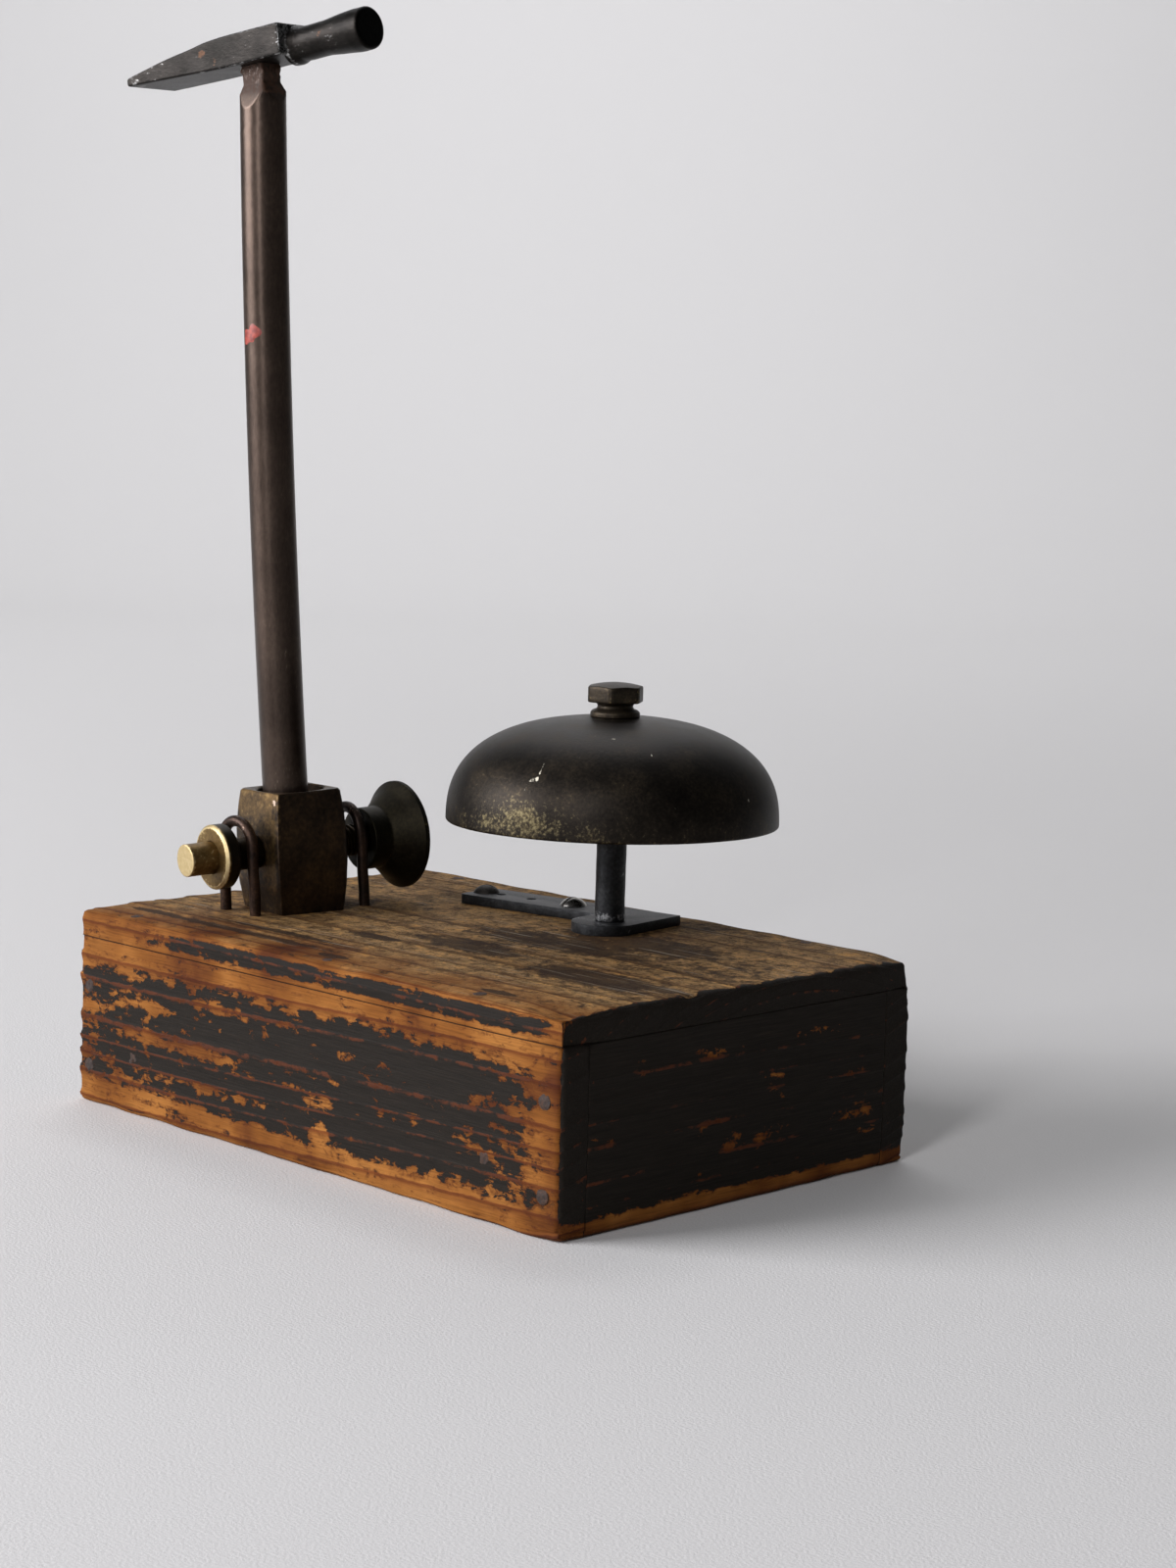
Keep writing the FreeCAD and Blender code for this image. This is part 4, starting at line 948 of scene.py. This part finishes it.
# Socket barrel
# A cast brass barrel, square with bulged sides, filed by hand and bored for the hammer's handle. It stands
# on the top board, held only by the two wire staples over its screws, and leans a little.
clamp_origin = np.array([-43.05, -11.45, box_height])
lean_azimuth = math.radians(242.0)
lean_way = np.array([math.cos(lean_azimuth), math.sin(lean_azimuth), 0.0])
clamp_lean = 2.63
clamp_turn = -7.0
clamp_rotation = turn(np.cross([0, 0, 1], lean_way), clamp_lean) @ turn((0, 0, 1), clamp_turn)
socket_height = 23.9
socket_half = 7.4
socket_bulge = 0.85
bore_radius = 6.6
cross_height = 12.05
cross_radius = 3.175
cross_rotation = clamp_rotation @ turn((1, 0, 0), -90)
cross_origin = clamp_rotation @ np.array([0, 0, cross_height]) + clamp_origin
thread_clearance = 0.06
barrel_corner_round = 1.3
sharp_corner_round = 0.35


def turned_on_cross(name, profile, columns, loop=False):
    """A piece turned round the axis of the two clamp screws; heights run outwards on the right."""
    return put_mesh(name, *skin(set_in(turned(profile, columns), cross_rotation, cross_origin), loop))


def square_ring(per_side):
    """Points round a square of half side 1, crowded towards its corners."""
    run = np.sin(np.linspace(-np.pi / 2, np.pi / 2, per_side, endpoint=False))
    one = np.ones(per_side)
    return np.concatenate([np.stack([one, run], 1), np.stack([-run, one], 1),
                           np.stack([-one, -run], 1), np.stack([run, -one], 1)])


def rounded_section(ring, half_u, half_v, radius):
    """A square ring stretched to these half sides, its corners rounded by this radius."""
    half = np.array([half_u, half_v])
    points = ring * half
    radius = np.broadcast_to(radius, len(ring))[:, None]
    core = np.clip(points, radius - half, half - radius)
    out = points - core
    return core + out / np.maximum(np.linalg.norm(out, axis=1)[:, None], 1e-9) * radius


# The barrel's wall is a loop of rings: up its bulged outside, in over the mouth and down the round bore.
# Its foot is cut level, so each ring's lowest height makes up for the lean.
mouth_chamfer = 0.3
ring = square_ring(40)
spokes = ring / np.linalg.norm(ring, axis=1)[:, None]
corner_round = np.where((ring[:, 0] > 0) & (ring[:, 1] < 0), sharp_corner_round, barrel_corner_round)
foot_slope = clamp_rotation[2] / clamp_rotation[2, 2]
sections = []
for share in np.linspace(0, 1, 60):
    half = socket_half + socket_bulge * (1 - (2 * share - 1) ** 2) - 0.25 * ease(share, 0.985, 1.0)
    flat = rounded_section(ring, half, half, corner_round)
    foot = -(flat @ foot_slope[:2])
    sections.append(np.column_stack([flat, foot + (socket_height - foot) * share]))
top = sections[-1][:, :2]
for share, drop in ((0.04, 0.0), (0.5, 0.0), (0.94, 0.0), (1.0, 0.04)):
    flat = top + share * (spokes * (bore_radius + mouth_chamfer) - top)
    sections.append(np.column_stack([flat, np.full(len(ring), socket_height - drop + 0.1)]))
bore = spokes * bore_radius
bore_foot = -(bore @ foot_slope[:2])
bore_top = socket_height - mouth_chamfer
for share in np.linspace(0, 1, 24):
    sections.append(np.column_stack([bore, bore_top + (bore_foot - bore_top) * share]))
rings = np.array(sections)
rings[..., 2] -= 0.1 * (rings[..., 2] > socket_height)
barrel_points, barrel_quads, _ = skin(rings, loop=True)
rough_file = 0.06 * ripple(barrel_points, 7, 51) * ease(np.abs(barrel_points[:, :2]).max(1), 6.9, 7.2)
barrel_points[:, :2] *= (1 - rough_file / 8)[:, None]
barrel = put_mesh("socket_barrel_cast", set_in(barrel_points, clamp_rotation, clamp_origin), barrel_quads)
drill_radius = cross_radius + thread_clearance
drill_reach = 20
drill = turned_on_cross("drill", [(drill_radius, -drill_reach), (drill_radius, drill_reach)], 64)
hole = barrel.modifiers.new("hole", "BOOLEAN")
hole.object = drill
hole.solver = "EXACT"
drilled = bpy.data.meshes.new_from_object(barrel.evaluated_get(bpy.context.evaluated_depsgraph_get()))
barrel.modifiers.clear()
barrel.data = drilled
bpy.data.objects.remove(drill)

# Old socket brass: brown-black patina in the hollows of the casting, dull gold where hands have rubbed it
# and as painted light on its lit left face, and pale yellow along the mouth and on the sharp front corner.
socket_brass = old_metal(
    "handled socket brass", ground=((0.35, "#1D1610"), (0.5, "#33271B"), (0.66, "#4E3C26")),
    shine=((0.3, "#6C5433"), (0.55, "#7B633F"), (0.75, "#917A54")), spot="#D9C2AE", rough=(0.46, 0.38),
    metallic=(0.75, 0.95), cloud_mm=7.0, grain_mm=0.9, relief_mm=0.03, blend=0.9)
x, y, z = points_of(barrel, clamp_origin, clamp_rotation).T
left_face = ease(-y, 6.6, 7.2)
right_face = ease(x, 6.6, 7.2)
# Rubbed places of the left face, lit as painted highlights: place and width across it, place and width up it,
# and strength.
left_rubs_and_highlights = ((0, math.inf, 20, 6, 0.3), (-4, 3, 21, 2, 0.34), (4, 2.5, 10, 5, 0.25))
# The left face is a little lighter all over, with a painted highlight down beside the near corner.
rubbed = 0.3 + 0.5 * bell(x, 6.3, 1.0) * (z < 19) * (z > 5)
for across, wide, up_at, tall, strength in left_rubs_and_highlights:
    rubbed += strength * bell(x, across, wide) * bell(z, up_at, tall)
mouth = bell(z, socket_height, 1.1)
sharp_corner = bell(np.hypot(x - 7.7, y + 7.7), 0, 0.9) * (z > 4)
chips = bell(np.hypot(x - 6.4, y + 7.6), 0, 1.5) * bell(z, 22.4, 1.3)
# The right face, away from the window, is painted darker as shade.
age(barrel, rubbed * left_face + 0.34 * mouth + 0.3 * sharp_corner - 0.34 * right_face, 0.75 * chips - 0.2)
finish_piece(barrel, "stand", "socket_brass", socket_brass, "socket_barrel", sharp=42)


# Left stud and its round nut
# A plain brass stud screwed into the barrel's left wall, and a round lock nut run up on it by hand.
# Both were polished once and still show yellow metal on their outer faces.
stud_end = 24.2
nut_outer = 18.5
nut_thickness = 3.4
nut_radius = 6.35
nut_bevel = 0.5
nut_middle = -nut_outer + nut_thickness / 2
nut_inner = -nut_outer + nut_thickness
stud_tip = -bore_radius - 0.15

# Bright brass: yellow and fairly glossy, with brown tarnish in the turned marks, and painted shade toward the
# clamp.
bright_brass = old_metal(
    "rubbed yellow brass", ground=((0.35, "#4C3A1E"), (0.5, "#6B5530"), (0.65, "#866E44")),
    shine=((0.3, "#B59F70"), (0.55, "#C4B083"), (0.75, "#D0BE95")), spot="#15110C", rough=(0.44, 0.46),
    metallic=(0.85, 0.9), cloud_mm=5.0, grain_mm=0.7, relief_mm=0.01)
stud_profile = soften([(0.1, -stud_end), (cross_radius, -stud_end), (cross_radius, stud_tip),
                       (0.1, stud_tip)], 0.22, 0.5)
stud = turned_on_cross("left_stud_turned", stud_profile, 72)
along = points_of(stud, cross_origin, cross_rotation)[:, 2]
end_face = 1 - ease(along, -stud_end, -stud_end + 0.35)
# The end face is rubbed bright; beyond the nut, toward the barrel, the stud is darkened as painted shade.
age(stud, 1.4 * end_face + 0.12, oxide_and_shade=0.9 * ease(along, nut_inner - 0.1, nut_inner + 0.5))
finish_piece(stud, "stand", "bright_brass", bright_brass, "left_stud", sharp=50)

nut_hole = cross_radius + 0.05
round_profile = soften([(nut_hole, nut_middle), (nut_hole, -nut_outer), (5.0, -nut_outer),
                        (nut_radius - nut_bevel, -nut_outer + 0.06), (nut_radius, -nut_outer + nut_bevel),
                        (nut_radius, nut_inner - nut_bevel), (nut_radius - nut_bevel, nut_inner),
                        (nut_hole, nut_inner), (nut_hole, nut_middle)], 0.12, 0.5)
round_nut = turned_on_cross("round_nut_turned", round_profile[:-1], 120, loop=True)
x, y, along = points_of(round_nut, cross_origin, cross_rotation).T
outer_face = 1 - ease(along, -nut_outer + 0.3, -nut_outer + 0.9)
bright_ring = ease(np.hypot(x, y), 5.6, 5.9)
# The outer face is rubbed bright; the rest of the nut is darkened as painted shade.
age(round_nut, (0.3 + bright_ring) * outer_face - 0.1,
    oxide_and_shade=0.93 * ease(along, -nut_outer + 0.55, -nut_outer + 0.8))
finish_piece(round_nut, "stand", "bright_brass", bright_brass, "round_nut", sharp=42)


# Staples
# Two staples bent from 2.2 mm steel wire and driven into the top board astride the two screws; they hold
# the clamp down. The bends were made by eye, so the legs are not quite straight.
wire_radius = 1.1
leg_spacing = 9.2
leg_depth = 4.4


def wire_tube(path, radius, flat_normal):
    """Rings of points round a path that stays near one plane with this normal."""
    along = np.gradient(path, axis=0)
    along /= np.linalg.norm(along, axis=1)[:, None]
    side = np.cross(along, flat_normal)
    side /= np.linalg.norm(side, axis=1)[:, None]
    rise = np.cross(side, along)
    angle = full_circle(28)[:, None]
    return path[:, None] + radius * (side[:, None] * np.cos(angle) + rise[:, None] * np.sin(angle))


# Staple steel: drawn wire gone red-brown and smooth, with a soft line of light along the bend.
staple_steel = old_metal(
    "browned staple wire", ground=((0.35, "#201713"), (0.5, "#37281F"), (0.65, "#503A2C")),
    shine=((0.3, "#6E5E52"), (0.7, "#A08E80")), spot="#4E2C18", rough=(0.44, 0.34), metallic=(0.75, 1.0),
    cloud_mm=4.0, grain_mm=0.5, relief_mm=0.05)
# Each staple's place along the screws, height, twist and lean in degrees.
staple_sizes = {"left_staple": (-12.4, 19.2, 7.0, 4.0), "right_staple": (13.3, 20.6, 0.0, 5.0)}
for seed, (name, (place, height, twist, lean)) in enumerate(staple_sizes.items()):
    half = leg_spacing / 2
    shoulder = height - wire_radius - half
    rise = np.linspace(-leg_depth, shoulder, 40)[:-1]
    bend = np.linspace(np.pi, 0, 48)
    left_leg = np.stack([0 * rise - half, 0 * rise, rise], 1)
    arch = np.stack([half * np.cos(bend), 0 * bend, shoulder + half * np.sin(bend)], 1)
    path = np.concatenate([left_leg, arch, left_leg[::-1] * [-1, 1, 1]])
    wobble = ease(path[:, 2], 0, 6)[:, None]
    path += 0.09 * wobble * np.stack([ripple(path, 9, 60 + seed + 2 * k) for k in range(3)], 1) * [1, 1, 0.4]
    screw_point = clamp_rotation @ np.array([0, place, cross_height]) + clamp_origin
    upright = turn((0, 0, 1), clamp_turn)
    drift = upright @ np.array([0, (screw_point[2] - box_height) * math.tan(math.radians(lean)), 0])
    rotation = upright @ turn((0, 0, 1), twist) @ turn((1, 0, 0), lean)
    origin = np.array([screw_point[0], screw_point[1], box_height]) + drift
    rings = set_in(wire_tube(path, wire_radius, np.array([0, 1.0, 0])), rotation, origin)
    staple = put_mesh(name + "_bent", *skin(rings))
    up = points_of(staple)[:, 2] - box_height
    foot_rust = 1 - ease(up, 0, 4)
    # The top of the bend is lighter, rust gathers at the feet, and the right staple is darkened all over as
    # painted shade.
    age(staple, 0.3 * ease(up, shoulder, height) - 0.05, 0.25 * foot_rust - 0.1, np.full(len(up), 0.4 * seed))
    finish_piece(staple, "stand", "staple_steel", staple_steel, name, sharp=60)


# Clamp screw
# A brass screw of a quarter inch, cut with twenty threads to the inch; its end presses on the handle and
# its outer end is fixed in the knob.
handle_radius = 4.45
handle_gap = 0.3
bow_at_screw = 0.395
screw_tip = handle_radius + handle_gap - bow_at_screw
screw_outer_end = 21.6
screw_pitch = 1.27
thread_depth = 0.42
run = np.linspace(screw_tip, screw_outer_end, 200)[:, None]
angle = full_circle(72)
phase = (run / screw_pitch - angle / (2 * np.pi)) % 1
crest = ease(1 - 2 * np.abs(phase - 0.5), 0.15, 0.75)
end_cut = ease(run, screw_tip, screw_tip + 0.5)
rings = around(cross_radius - thread_depth * (1 - crest * end_cut), angle, run)
clamp_screw = put_mesh("clamp_screw_threaded", *skin(set_in(rings, cross_rotation, cross_origin)))
# The whole screw is darkened: painted shade on the thread between barrel and knob.
age(clamp_screw, oxide_and_shade=np.full(len(clamp_screw.data.vertices), 0.8))
finish_piece(clamp_screw, "clamp_screw", "bright_brass", bright_brass, "clamp_screw", sharp=60)


# Thumb knob
# A turned brass knob that flares like a trumpet from its hub to a thin rim, so that finger and thumb can
# screw it up; it has gone almost black. Two fine lines are turned beside its edge.
knob_hub_radius = 6.25
knob_rim_radius = 10.85
knob_profile = [(0.1, 21.9), (3.235, 21.9), (3.235, 15.9), (knob_hub_radius, 15.9), (knob_hub_radius, 19.9),
                (6.85, 20.6), (7.75, 21.7), (9.0, 23.15), (10.5, 24.5), (knob_rim_radius, 24.85),
                (knob_rim_radius, 25.15), (knob_rim_radius - 0.09, 25.25), (knob_rim_radius, 25.35),
                (knob_rim_radius, 25.65), (10.5, 26.0), (9.9, 26.1), (9.75, 26.04), (9.6, 26.14),
                (5.25, 26.6), (0.1, 26.8)]
knob = turned_on_cross("thumb_knob_turned", soften(knob_profile, 0.3, 0.4), 144)

# Knob brass: an even brown-black patina with a low olive gloss, hardly any metal showing at the rim.
knob_brass = old_metal(
    "blackened knob brass", ground=((0.35, "#14120C"), (0.5, "#1D1A12"), (0.66, "#2B271B")),
    shine=((0.3, "#4A4128"), (0.7, "#6E613C")), rough=(0.52, 0.4), metallic=(0.94, 0.96), grain_mm=0.7,
    relief_mm=0.05)
x, y, along = points_of(knob, cross_origin, cross_rotation).T
age(knob, 0.25 * ease(np.hypot(x, y), knob_rim_radius - 0.25, knob_rim_radius) - 0.08)
finish_piece(knob, "thumb_knob", "knob_brass", knob_brass, "thumb_knob", sharp=50)


# Hammer handle
# A 9 mm steel rod, slightly bowed, ground to four facets and a square tenon where it enters the head.
# Rust and filing burrs sit at the tenon, and a chip of red paint is left a third of the way down.
handle_length = 163.2
handle_bow = 1.1
handle_foot = np.array([-0.16, -0.32, 0.0])
handle_top = np.array([-0.45, -0.7, handle_length])
tenon_reach = 5.0
facet_length = 4.6
facet_top = 1.6
tenon_half = (2.75, 2.55)
tenon_turn = 14.0
tenon_tilt = -5.3
tenon_end = 11.05
tenon_corner = 0.94
bow_way = clamp_rotation.T @ lean_way
bow_way[2] = 0
bow_way /= np.linalg.norm(bow_way)


def handle_centre(height):
    """The rod's middle at a height: a straight line from foot to top, bowed like the parabola 4 s (1 - s)."""
    share = np.asarray(height)[..., None] / handle_length
    return handle_foot + (handle_top - handle_foot) * share + bow_way * 4 * handle_bow * share * (1 - share)


rod_angle = full_circle(96)
foot_gap = 0.65
rod_top = 150.6
rise = np.concatenate([[foot_gap, 0.75, 0.95, 1.15, 1.4], np.linspace(2.4, rod_top, 190)])
foot_share = np.clip((rise - foot_gap) / foot_gap, 0, 1)
foot_round = handle_radius - 0.6 * (1 - foot_share) ** 1.5
slope = np.gradient(handle_centre(rise), rise, axis=0)
side = np.stack([np.ones(len(rise)), 0 * rise, -slope[:, 0]], 1)
front = np.stack([0 * rise, np.ones(len(rise)), -slope[:, 1]], 1)
spokes = side[:, None] * np.cos(rod_angle)[:, None] + front[:, None] * np.sin(rod_angle)[:, None]
rod = handle_centre(rise)[:, None] + foot_round[:, None, None] * spokes

# The rod's top: its round section shrinks to the tenon's two half widths, facet by facet, then goes square.
tenon_rotation = clamp_rotation @ turn((0, 0, 1), tenon_turn) @ turn((0, 1, 0), tenon_tilt)
tenon_origin = clamp_rotation @ handle_centre(handle_length - tenon_reach) + clamp_origin
local_way = tenon_rotation.T @ clamp_rotation @ slope[-1]
rod_side = tenon_rotation.T @ clamp_rotation[:, 0]
top_angle = rod_angle + math.atan2(rod_side[1], rod_side[0])
ways = np.stack([np.cos(top_angle), np.sin(top_angle)], 1)
tops = []
tenon_levels = [np.linspace(-6.0, 2.0, 34), np.linspace(2.3, 10.8, 20), [tenon_end - 0.1, tenon_end]]
for z in np.concatenate(tenon_levels):
    centre = local_way[:2] / local_way[2] * min(z, facet_top)
    toward = ways @ centre
    circle = toward + np.sqrt(handle_radius ** 2 - centre @ centre + toward ** 2)
    shrink = np.clip((facet_top - z) / facet_length, 0, None)
    half = np.array([t + (handle_radius - t) * shrink for t in tenon_half])
    square = (half / np.maximum(np.abs(ways), 1e-6)).min(1)
    square = np.minimum(square, tenon_corner * math.hypot(*half))
    end_bevel = 0.25 * max(0.0, z - tenon_end + 0.15) / 0.15
    reach = np.minimum(circle, square) - end_bevel
    tops.append(np.column_stack([ways * reach[:, None], np.full(len(ways), z)]))
tops = np.array(tops)
burr = bell(tops[..., 2], 3.8, 1.1) * np.clip(ripple(tops, 2.2, 71), 0, 1)
tops[..., :2] *= (1 + 0.2 * burr)[..., None]
handle = put_mesh("hammer_handle_ground", *skin(np.concatenate([set_in(rod, clamp_rotation, clamp_origin),
                                                                set_in(tops, tenon_rotation, tenon_origin)])))

# Handle steel: a bare rod gone warm grey-brown, half glossy along its length, rust-brown at the tenon.
handle_steel = old_metal(
    "browned steel rod", ground=((0.3, "#382E28"), (0.5, "#4A3E36"), (0.7, "#5B4D43")),
    shine=((0.3, "#75695E"), (0.7, "#9A8C7E")), spot="#4C2C12", rough=(0.33, 0.28), metallic=(0.85, 1.0),
    cloud_mm=14.0, grain_mm=0.5, stretch=(1, 1, 0.4), relief_mm=0.015)
up_handle = points_of(handle, clamp_origin, clamp_rotation)[:, 2]
tenon_share = ease(up_handle, 155.5, 158.5)
foot_rust = 0.16 * (1 - ease(up_handle, 10, 75))
# The rod is also darker towards its foot.
darker_toward_foot = 0.3 * (1 - ease(up_handle, 20, 90))
age(handle, 0.05 - 0.5 * tenon_share, 0.6 * tenon_share + foot_rust, 0.5 * tenon_share + darker_toward_foot)
finish_piece(handle, "hammer", "handle_steel", handle_steel, "hammer_handle", sharp=50)

# Red enamel: a thin brittle flake with a soft gloss, dusty red.
paint_chip, tree, shader, mm = new_material("chip of red enamel")
flake = add(tree, "TexNoise", {"Vector": mm, "Scale": 1.2, "Detail": 3.0})
red = add(tree, "ValToRGB", {0: flake}, stops=((0.35, "#6E2016"), (0.65, "#9E3E2D")))
feed(tree, shader, {"Base Color": red, "Roughness": 0.45})
chip_height = 112.4
chip_bearing = math.radians(-78)
chip_reach = 1.9
chip_thickness = 0.08
spread = np.linspace(0, 1, 10)[1:, None]
chip_angle = full_circle(40)
outline = chip_reach * (1 + 0.3 * np.sin(2 * chip_angle + 0.6) + 0.14 * np.sin(5 * chip_angle + 1))
bearing = chip_bearing + spread * outline * np.cos(chip_angle) / handle_radius
axis_point = handle_centre(chip_height + spread * outline * np.sin(chip_angle))
thick = handle_radius + 0.01 + (chip_thickness - 0.01) * (1 - spread ** 4)
skin_out = axis_point + around(thick, bearing, 0.0)
skin_in = axis_point + around(handle_radius - 0.1, bearing, 0.0)
chip_rings = np.concatenate([skin_out, skin_in[::-1]])
chip = put_mesh("red_paint_chip", *skin(set_in(chip_rings, clamp_rotation, clamp_origin)))
finish_piece(chip, "hammer", "handle_steel", paint_chip, sharp=60)


# Hammer head
# A small cross-peen head forged from tool steel and ground on its sides: a wedge peen at the left, a square
# block with the eye, and a turned poll with a blackened face. It is driven onto the tenon.
eye_foot = 2.0
head_origin = tenon_origin + tenon_rotation @ np.array([0, 0, tenon_reach + eye_foot])
block_front = 10.4
block_back = -5.2
peen_end = -30.4
block_half_width = 5.3
tip_half_width = 6.4
block_top = 4.0
block_bottom = -2.0
shoulder_rise = 2.5
peen_top = 0.3
peen_lift = 0.8
head_edge_round = 0.38
stations = np.concatenate([[peen_end, peen_end + 0.06, peen_end + 0.2, peen_end + 0.45],
                           np.linspace(peen_end + 1.1, block_back, 60),
                           np.linspace(block_back, block_front - 0.5, 34)[1:],
                           [block_front - 0.22, block_front - 0.07, block_front]])
end_shrink = np.zeros(len(stations))
end_shrink[:3] = 0.45, 0.25, 0.08
end_shrink[-3:] = 0.04, 0.14, 0.32
peen_share = np.clip((block_back - stations) / (block_back - peen_end), 0, 1)
half_width = block_half_width + (tip_half_width - block_half_width) * peen_share - end_shrink
peen_middle = (block_back + peen_end) / 2
top_curve = np.polyfit([peen_end, peen_middle, block_back], [peen_top, shoulder_rise, block_top], 2)
top_z = np.where(stations < block_back, np.polyval(top_curve, stations), block_top) - end_shrink
bottom_z = block_bottom + peen_share * peen_lift + end_shrink
ring = square_ring(26)
head_rings = []
for x, half, high, low in zip(stations, half_width, top_z, bottom_z):
    half_height = (high - low) / 2
    section = rounded_section(ring, half, half_height, min(head_edge_round, 0.7 * half_height))
    head_rings.append(np.column_stack([np.full(len(ring), x), section + [0, (high + low) / 2]]))
head_rings = np.array(head_rings)
hammered = 0.07 * ripple(head_rings, 8, 81) * ease(head_rings[..., 0], peen_end, peen_end + 3)
head_rings[..., 1:] *= (1 - hammered / 5)[..., None]
poll_end = 29.0
poll_radius = 4.0
filed_unevenly = 0.012
poll_profile = soften([(0.1, 8.4), (3.7, 9.4), (3.7, block_front + 0.35), (3.2, 12.2), (3.3, 18.5),
                       (poll_radius, 26.0), (poll_radius, poll_end - 0.4), (poll_radius - 0.4, poll_end),
                       (0.2, poll_end)], 0.25, 0.6)
poll_rings = turned(poll_profile, 96)
poll_rings[..., :2] *= 1 - filed_unevenly * ripple(poll_rings, 7, 82)[..., None]
poll_rings = poll_rings @ turn((0, 1, 0), 90).T
head = put_mesh("hammer_head_forged", *join([skin(set_in(part, tenon_rotation, head_origin))
                                             for part in (head_rings, poll_rings)]))

# Ground tool steel: cool grey with fine grinding lines across it, small rust spots and a black face, black
# oxide deepened by painted shade.
head_steel = old_metal(
    "ground hammer steel", ground=((0.35, "#161513"), (0.5, "#201E1C"), (0.65, "#2E2B28")),
    shine=((0.3, "#6A6A69"), (0.7, "#A0A09E")), spot="#5B3B22", rough=(0.42, 0.34), metallic=(0.97, 1.0),
    cloud_mm=8.0, grain_mm=0.5, stretch=(0.35, 1, 1), relief_mm=0.06)
local = points_of(head, head_origin, tenon_rotation)
x, y, z = local.T
# Place along the head and height, half sizes and strength of the rust spots.
rust_spots = ((-10.0, 1.6, 1.4, 1.0, 0.7), (-7.0, -0.4, 1.0, 0.9, 0.6), (19.0, 0.5, 1.2, 0.9, 0.6),
              (-16.0, 0.2, 1.2, 0.8, 0.4), (3.0, 3.0, 1.4, 0.8, 0.4))
edges = ease(np.abs(y), 4.9, 5.2) * ease(np.abs(z - 1) - 2.6, 0.0, 0.3) * (x < block_front + 0.1)
# The poll's face is blackened: black oxide, darkened further as painted shade.
black_and_shaded_face = ease(x, poll_end - 0.4, poll_end - 0.1)
# Worn edges, and a painted highlight along the block's front edge.
age(head, 0.08 + 0.4 * edges + 0.4 * bell(x, block_front, 0.5), blots(local, rust_spots, 0, 2) - 0.12,
    0.9 * black_and_shaded_face)
finish_piece(head, "hammer", "head_steel", head_steel, "hammer_head", sharp=40)
